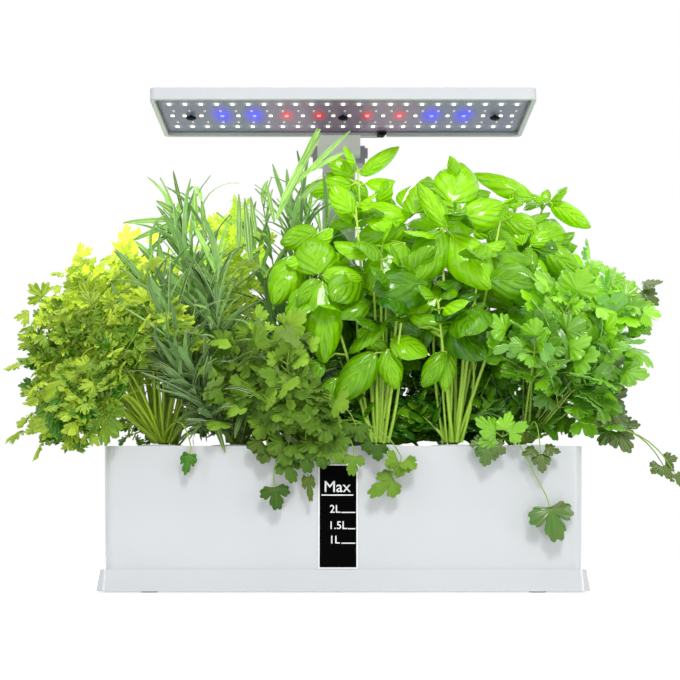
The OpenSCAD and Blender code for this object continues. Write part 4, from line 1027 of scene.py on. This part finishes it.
grow_basil("basil_rear", column=3, row=1, seed=32, shoots=[
    (-16, -22, .9), (-2, -12, .78), (-20, -8, .64), (20, 2, .78), (6, 14, .58)
], single_leaves=[
    ((8, -4, 334), (-9, -12, 350), 15, -10), ((15, -4, 335), (47, -10, 358), 12, 30),
    ((-12, -2, 332), (-37, -6, 327), 10, 20), ((7, -6, 326), (-21, -12, 312), 20, -60),
    ((7, -4, 330), (19, -8, 317), 11, 20), ((54, -22, 296), (6, -30, 315), 24, 15),
    ((-11, -14, 290), (14, -20, 302), 13, -20), ((51, -20, 288), (13, -28, 275), 22, -30),
    ((49, -34, 271), (22, -52, 233), 33, -5), ((49, -24, 243), (28, -30, 226), 24, 20),
    ((23, -20, 246), (13, -24, 222), 19, -20)
])
grow_basil("basil_tall", column=4, row=0, seed=41, shoots=[
    (5, -2, .82), (-8, -18, .66), (22, -24, .58), (-12, -32, .42), (42, -6, .74), (34, -20, .36)
], single_leaves=[
    ((85, -50, 300), (95, -44, 341), 33, 0), ((55, -38, 294), (64, -30, 335), 25, -20),
    ((80, -55, 277), (78, -60, 306), 12, 20), ((81, -56, 277), (56, -64, 312), 14, -30),
    ((91, -48, 288), (128, -56, 300), 23, 15), ((78, -58, 275), (58, -72, 239), 28, -10),
    ((81, -44, 277), (115, -38, 288), 16, 40), ((84, -56, 273), (110, -74, 233), 31, 10),
    ((83, -46, 271), (88, -50, 237), 19, 35), ((58, -58, 199), (72, -64, 232), 28, 5),
    ((88, -52, 194), (98, -56, 219), 15, 30), ((67, -56, 197), (91, -60, 191), 10, 50),
    ((79, -60, 180), (62, -68, 155), 16, -15), ((79, -58, 180), (74, -62, 152), 13, 25)
])
grow_basil("basil_right", column=4, row=1, seed=42, shoots=[
    (57, -14, .76), (80, -10, .78), (78, -12, .64), (20, 6, .76), (-14, 12, .74), (38, 22, .6)
], single_leaves=[
    ((156, -8, 314), (116, -14, 346), 20, 15), ((169, -8, 311), (201, -14, 293), 15, 20),
    ((163, -8, 311), (167, -10, 322), 8, 0), ((163, -8, 311), (155, -12, 318), 7, 0),
    ((160, -14, 276), (174, -6, 304), 29, 0), ((144, -18, 273), (130, -16, 308), 19, -15),
    ((150, -20, 273), (166, -24, 284), 12, 10), ((149, -22, 271), (150, -30, 251), 12, 0),
    ((159, -18, 272), (186, -28, 252), 20, 20), ((112, -12, 248), (134, -18, 226), 26, 10),
    ((116, -26, 281), (139, -24, 265), 18, 30), ((129, -26, 263), (136, -30, 248), 14, 0),
    ((151, -20, 262), (160, -26, 243), 14, 10)
])


# ---------------------------------------------------------------- tarragon
# Thin upright stems with narrow blades, pale along the rib and the edges, that rise round the stem and
# close to a brush at its tip.
def tarragon_profile(u, t):
    half = 0.5 * max(math.sin(math.pi * (0.03 + 0.96 * t) ** 0.85), 0) ** 0.5
    return half, 0.02 * abs(u)


bends = (0.25, 0.8, 1.5)
tarragon_sheets = [long_leaf("tarragon_sheet", 2, 6, tarragon_profile, bend, 0.004) for bend in bends]
tarragon_green = leafy("tarragon_leaf", 0.25, (4, 60, 6), (162, 230, 84), (226, 250, 180), (150, 196, 128),
                       specular=0.35, through=0.22, Veins=3.0, Slant=3.0, Rib=0.26, Vein_mix=0.75,
                       Edge_mix=0.7, Gloss=0.55)
tarragon_stalk = stalk_skin("tarragon_stalk", (134, 166, 70), (140, 186, 84), 0.5)
golden_turn = 137.5         # degrees from one blade to the next round a stem
blade_width = 4.8


def grow_tarragon(name, column, row, seed, shoots, brushes, blades, crowd=1):
    """Brushes are shoots whose blades lie close. Each of the other shoots gets crowd twins."""
    plant = Plant(name, column, row, seed)
    chance = plant.chance
    twins = []
    for side, back, share, *_ in shoots * crowd:
        side, back = side + chance.uniform(-12, 12), back + chance.uniform(-10, 6)
        twins.append((side, back, share * chance.uniform(0.6, 0.97)))
    for i, tip in enumerate(shoots + twins + brushes):
        at = plant.shoot(*tip, i=i)
        plant.stalk(points_on(at, 8), 1.1, 0.5)
        stands_off, count, stretch = (0.3, 16, 1.35) if tip in brushes else (1.0, 22, 1.0)
        for k in range(count):
            t = 0.22 + 0.78 * (k / (count - 1)) ** 0.9
            ahead = (at(min(t + 0.03, 1.03)) - at(t - 0.03)).normalized()
            length = (54 - 12 * t + chance.uniform(-18, 14)) * (0.85 if t > 0.95 else 1) * stretch
            out = heading(golden_turn * k + 50 * i + chance.gauss(0, 30), chance.gauss(0, 20))
            rise = 0.8 + 1.5 * t * t + chance.uniform(-0.6, 0.6)
            way = out * 0.85 * stands_off + ahead * rise
            face = ahead - out * 0.6 + plant.nudge(0.3) + Vector((0, -0.3, 0))
            sheet = tarragon_sheets[chance.choice((0, 0, 1, 1, 2))]
            width = blade_width * chance.uniform(0.75, 1.15)
            # The tone rises along the shoot and with its height: partly young growth, partly painted light at
            # the top and painted shade below.
            tone = 0.02 + 0.95 * t * tip[2] + chance.gauss(0, 0.28)
            plant.leaf(sheet, at(t), way, face, length, width, tone)
    for foot, tip, width, tone in blades:
        foot, tip = Vector(foot), Vector(tip)
        face = Vector((chance.uniform(-0.4, 0.4), -1, 0.3))
        plant.leaf(tarragon_sheets[0], foot, tip - foot, face, (tip - foot).length, width, tone)
    plant.undergrowth(22, tarragon_sheets, size=32, slender=0.14, high=100)
    plant.finish(tarragon_green, tarragon_stalk)


# A blade is given by its foot, its tip, its width and its tone, from dark to light.
grow_tarragon("tarragon_left", column=1, row=0, seed=11, crowd=2, shoots=[
    (-46, -4, .7), (-66, -12, .6), (-28, -4, .76), (-54, -34, .44), (-14, -24, .56), (-40, -36, .26, 15)
], brushes=[(-45, -3, .68)], blades=[
    ((-126, -40, 294), (-136, -42, 329), 3.2, 0.2), ((-116, -42, 277), (-118, -46, 313), 6, 0.75),
    ((-128, -40, 291), (-147, -44, 304), 5.5, 0.5), ((-129, -40, 288), (-173, -46, 287), 5, 0.6),
    ((-129, -40, 287), (-166, -46, 272), 5, 0.55), ((-128, -40, 285), (-158, -46, 258), 4, 0.3),
    ((-108, -42, 272), (-111, -46, 303), 4.5, 0.5), ((-82, -42, 264), (-81, -44, 310), 4.5, 0.5),
    ((-73, -42, 254), (-77, -44, 307), 5, 0.4), ((-68, -42, 275), (-74, -40, 309), 4, 0.5)
])
grow_tarragon("tarragon_right", column=2, row=1, seed=22, shoots=[
    (-18, -22, .8), (-38, -14, .8), (-48, -10, .7), (-8, 8, .76), (-22, 18, .5)
], brushes=[(-2, -22, .79), (-6, -26, .72), (16, -22, .82), (-14, -22, .76)], blades=[
    ((-50, -54, 290), (-20, -60, 360), 6, 0.95), ((-46, -54, 297), (-19, -60, 359), 5.5, 0.7),
    ((-52, -54, 285), (-26, -60, 346), 5, 0.9), ((-43, -56, 304), (-19, -62, 355), 5, 0.5),
    ((-49, -56, 296), (-30, -62, 332), 5, 0.85), ((-37, -56, 312), (5, -60, 358), 4, 0.95),
    ((-34, -56, 316), (5, -60, 356), 3.5, 0.8), ((-26, -56, 323), (1, -58, 340), 4, 0.9),
    ((-54, -50, 284), (-60, -50, 316), 3.5, 0.6), ((-34, -50, 302), (-18, -54, 317), 4, 0.5)
])


# ---------------------------------------------------------------- parsley
# Juicy ribbed stalks that fork into lacy leaves of small, deeply cut, pointed leaflets, yellow-green
# where the light comes through them at the top.
def each_frond(plant, shoots, twins, nearer, shift, shorter, twins_hang=True):
    """Each shoot's curve, its way outward and its arch, and then those of twins that stand between them."""
    chance = plant.chance
    for again in range(twins + 1):
        for i, (side, back, share, *arch) in enumerate(shoots):
            arch = arch[0] if arch else 0
            if again and arch > 20 and not twins_hang:
                continue
            if again:
                side, back = side * chance.uniform(*nearer), back + chance.uniform(*shift)
                share = share * chance.uniform(*shorter) + 0.02
            at = plant.shoot(side, back, share, arch, i + 5 * again)
            yield at, Vector((side, back, 0)).normalized(), arch


def spray(plant, at, outward, sheets, start, pairs, branch, size, leaflets, slim=0.45):
    """A divided leaf at the end of a stalk: pairs of twigs and a last one, with leaflets on both sides."""
    chance = plant.chance
    sky = (Vector((0, -0.55, 0.85)) + outward * 0.5).normalized()
    last = leaflets - 1
    for k in range(pairs + 1):
        t = start + (1 - start) * k / pairs
        hub = at(t)
        ahead = (hub - at(t - 0.06)).normalized()
        across = ahead.cross(sky + plant.nudge(0.2)).normalized()
        ways = [(ahead * 0.5 + across, 1), (ahead * 0.5 - across, 1)] + ([(ahead, 0.6)] if k == pairs else [])
        for way, reach in ways:
            way = (way + plant.nudge(0.16)).normalized()
            twig = branch * reach * (1 - 0.5 * k / (pairs + 1)) * chance.uniform(0.8, 1.15)
            end = hub + way * twig
            if not plant.clear(end):
                continue
            plant.stalk([hub, hub.lerp(end, 0.5) + sky * twig * 0.06, end], slim, slim * 0.6)
            for j in range(leaflets):
                share = 1.0 if j == last else (j // 2 + 1) / ((leaflets + 1) // 2 + 0.5)
                turn = 0 if j == last else (70 if j % 2 else -70)
                face = sky + plant.nudge(0.38)
                aim = Matrix.Rotation(math.radians(turn + chance.gauss(0, 10)), 3, face.normalized()) @ way
                length = size * chance.uniform(0.75, 1.15) * (0.9 if turn else 1.1)
                plant.leaf(chance.choice(sheets), hub.lerp(end, share), aim, face, length, length)


folds = ((0.05, 0.2), (-0.04, 0.45), (0.07, 0.05))      # each kind's pleat and droop
parsley_cut = {"teeth": 3, "cleft": 0.58, "nick": 0.2, "spread": 108}
parsley_sheets = [fan_leaf("parsley_sheet", pleat, droop, **parsley_cut) for pleat, droop in folds]
broad_parsley = fan_leaf("broad_parsley", 0.03, 0.3, teeth=3, cleft=0.42, nick=0.14, spread=118)
fan_veins = {"Veins": 9.0, "Slant": 0.0, "Rib": 0.1}
parsley_green = leafy("parsley_leaf", 0.6, (52, 122, 0), (238, 255, 78), (238, 252, 130), (190, 214, 110),
                      coat=0.1, specular=0.3, through=0.72, Vein_mix=0.35, Gloss=0.48, **fan_veins)
inner_green = leafy("inner_parsley_leaf", 0.4, (64, 124, 0), (214, 240, 64), (236, 250, 130), (180, 206, 110),
                    specular=0.3, through=0.4, Vein_mix=0.35, Gloss=0.48, **fan_veins)
parsley_stalk = stalk_skin("parsley_stalk", (150, 184, 26), (190, 220, 62), 0.42)
bare_below, bare_left, bare_front = 168, -165, -20      # the front row's stalks stand bare in this room


def grow_parsley(name, column, row, seed, look, shoots, single_leaves=()):
    plant = Plant(name, column, row, seed, foot_tone=0.16, tip_tone=1.0, steep=3.0)
    if not row:
        plant.kept_off = lambda p: 108 < p.z < bare_below and p.x > bare_left and p.y < bare_front
    fronds = each_frond(plant, shoots, 1, nearer=(0.7, 0.97), shift=(-10, 10), shorter=(0.72, 0.95))
    for at, outward, _ in fronds:
        plant.stalk(points_on(at, 8), 1.5, 0.7)
        spray(plant, at, outward, parsley_sheets, start=0.62, pairs=5, branch=32, size=16, leaflets=5)
    for foot, tip, width, tone in single_leaves:
        plant.lone_leaf(broad_parsley, foot, tip, width, tone)
    if not row:
        plant.bare_stems(15, apart=0.95, lean=4, low=75, high=120)
    plant.undergrowth(24, parsley_sheets, size=13, slender=1.0, high=110, leaves=3, nearest=-22 if row else 2)
    plant.finish(look, parsley_stalk)


# A single leaf is given by its foot, its tip, its width and its tone, from -1, which is yellowed, to 1.
grow_parsley("parsley_left_front", column=0, row=0, seed=1, look=parsley_green, shoots=[
    (-28, 0, .54), (-60, -4, .52), (-80, -12, .4), (-88, -16, .27, 10), (-48, -24, .4),
    (-72, -34, .12, 40), (-32, -42, .26, 10), (-80, -24, .06, 55), (-34, -44, .1, 40), (-55, -10, .46),
    (-5, -30, .36)
], single_leaves=[
    ((-190, -76, 164), (-222, -84, 142), 34, 0.3), ((-180, -80, 148), (-208, -88, 122), 32, 0.35),
    ((-184, -80, 140), (-166, -86, 114), 28, 0.15), ((-113, -75, 106), (-117, -79, 86), 11, -0.8),
    ((-196, -72, 176), (-176, -80, 152), 26, 0.2), ((-206, -66, 138), (-232, -72, 120), 26, 0.3)
])
grow_parsley("parsley_left_rear", column=0, row=1, seed=2, look=parsley_green, shoots=[
    (-38, 6, .63), (-12, 20, .57), (-62, 16, .52), (-80, 14, .38), (-60, 36, .3, 10), (-10, 34, .36),
    (-84, 20, .2, 20)
])
grow_parsley("parsley_inner", column=1, row=1, seed=12, look=inner_green, shoots=[
    (-22, 4, .7), (-6, 8, .74), (-30, 22, .56), (-14, 38, .5), (-28, 32, .3), (4, 22, .34)
])


# ---------------------------------------------------------------- coriander
# Slim stalks with flat fan-shaped leaflets of three toothed lobes. The front ones have grown over the rim
# and hang down on the tank, duller than the rest.
folds = ((0.012, 0.25), (-0.012, 0.5), (0.02, 0.1))
coriander_cut = {"teeth": 3, "cleft": 0.34, "nick": 0.11, "spread": 110}
coriander_sheets = [fan_leaf("coriander_sheet", pleat, droop, **coriander_cut) for pleat, droop in folds]
broad_sheet = fan_leaf("broad_coriander", 0.01, 0.2, teeth=4, cleft=0.62, nick=0.12, spread=124)
# Its undersides are pale and bluish: partly the leaf's own paler underside, partly a painted sheen.
coriander_green = leafy("coriander_leaf", 0.6, (62, 116, 10), (150, 222, 20), (196, 234, 110),
                        (150, 206, 128), coat=0.45, specular=0.4, through=0.26, Vein_mix=0.22, Gloss=0.42,
                        **fan_veins)
trailing_green = leafy("trailing_coriander_leaf", 0.4, (50, 88, 10), (160, 206, 60), (180, 208, 100),
                       (140, 168, 96), specular=0.25, through=0.25, Vein_mix=0.22, Gloss=0.6, **fan_veins)
coriander_stalk = stalk_skin("coriander_stalk", (140, 176, 56), (176, 212, 84), 0.45)
hangs_from = 45             # a shoot of a trailing plant that arches by more than this hangs down


def behind_basil(p):
    """Where the basil of the next pod stands in front."""
    return p.z > 105 and p.x > -12 + 0.8 * max(150 - p.z, 0)


def grow_coriander(name, column, row, seed, look, shoots, single_leaves=(), size=21, trails=False):
    if trails:
        plant = Plant(name, column, row, seed, lit_over=100, foot_tone=0.16, tip_tone=0.72)
        plant.kept_off = behind_basil
    else:
        plant = Plant(name, column, row, seed, lit_over=130, foot_tone=0.2, tip_tone=0.85)
    twins = 0 if trails else 1
    fronds = each_frond(plant, shoots, twins, nearer=(0.6, 0.95), shift=(-12, 8), shorter=(0.7, 0.95),
                        twins_hang=False)
    for at, outward, arch in fronds:
        plant.stalk(points_on(at, 10), 1.1, 0.6)
        if trails and arch > hangs_from:
            form = {"start": 0.5, "pairs": 5, "branch": 12, "slim": 0.35}
        else:
            form = {"start": 0.7, "pairs": 2, "branch": 28}
        spray(plant, at, outward, coriander_sheets, size=size, leaflets=3, **form)
    for foot, tip, width, tone, *more in single_leaves:
        sheet = coriander_sheets[2] if more and more[0] else broad_sheet
        plant.lone_leaf(sheet, foot, tip, width, tone, *more)
    plant.undergrowth(18, coriander_sheets, size=15, slender=1.0)
    plant.finish(look, coriander_stalk)


# Two more numbers say how large the leaves beside a single leaf are, and where its stalk bends.
grow_coriander("coriander_trailing", column=2, row=0, seed=21, look=trailing_green, size=17, trails=True,
    shoots=[
    (-54, -26, .25), (-34, -30, .31), (-14, -38, .23), (-62, -20, .16), (-20, -46, .1, 50),
    (14, -46, .08, 50), (-38, -40, .14, 25), (2, -42, .14, 25)
], single_leaves=[
    ((-52, -75, 82), (-48, -79, 60), 20, -0.75), ((-27, -75, 90), (-23.5, -79, 66), 9, -1),
    ((43, -76, 86), (18, -80, 71), 20, 0.3), ((8, -77, 104), (6, -81, 85), 16, 0.3),
    ((43, -76, 99), (40, -80, 84), 17, 0.3, 0.9), ((-56, -75, 112), (-60, -80, 94), 19, -1, 0.9),
    ((-40, -76, 112), (-44, -82, 92), 21, 0.15, 0.9), ((-28, -76, 108), (-26, -82, 87), 20, 0.05),
    ((-18, -77, 112), (-14, -82, 90), 20, 0.1, 0.8), ((-44, -75, 100), (-36, -80, 80), 18, 0.1),
    ((-10, -77, 112), (-2, -83, 94), 18, 0.3, 0.8), ((-34, -74, 134), (-42, -80, 116), 22, 0.25, 0.9),
    ((-16, -72, 132), (-10, -79, 113), 20, 0.2, 0.8), ((-56, -72, 130), (-64, -78, 112), 20, 0.3, 0.8),
    ((8, -72, 126), (14, -78, 110), 18, 0.1, 0.8), ((24, -74, 112), (26, -79, 96), 15, 0, 0.8),
    ((-74, -66, 150), (-88, -72, 138), 20, 0.4, 0.8), ((-50, -66, 168), (-62, -72, 152), 22, 0.4, 0.9)
])
grow_coriander("coriander_front", column=5, row=0, seed=51, look=coriander_green, shoots=[
    (60, -4, .45), (70, -8, .4), (32, -22, .42), (50, -32, .27), (46, -22, .14), (4, -34, .28)
], single_leaves=[
    ((150, -75, 70), (158, -80, 37), 31, -0.86, 0, (114, -84, 136)),
    ((108, -75, 110), (104, -79, 92), 16, -0.9, 0.8), ((146, -75, 106), (147, -79, 87), 13, -1, 0.8),
    ((118, -76, 114), (98, -80, 128), 17, 0.5, 0.8), ((118, -76, 114), (136, -82, 124), 17, 0.55),
    ((104, -75, 112), (112, -80, 118), 14, 0.45), ((176, -60, 132), (190, -66, 116), 24, 0.5),
    ((182, -62, 158), (206, -68, 140), 25, 0.55), ((196, -58, 142), (214, -62, 122), 22, -1, 0.8),
    ((206, -50, 126), (218, -54, 104), 20, -1, 0.8), ((242, -46, 98), (249, -50, 84), 13, -1, 0.8),
    ((251, -46, 91), (257, -50, 79), 11, -1), ((196, -50, 166), (214, -56, 148), 20, -1, 0.9),
    ((222, -40, 216), (238, -46, 196), 18, 0.5, 0.8), ((230, -36, 236), (246, -42, 220), 17, -1, 0.9)
])
grow_coriander("coriander_rear", column=5, row=1, seed=52, look=coriander_green, shoots=[
    (58, -8, .56), (78, 4, .48), (34, 12, .38), (52, 32, .3), (30, 22, .3), (40, -6, .48)
])
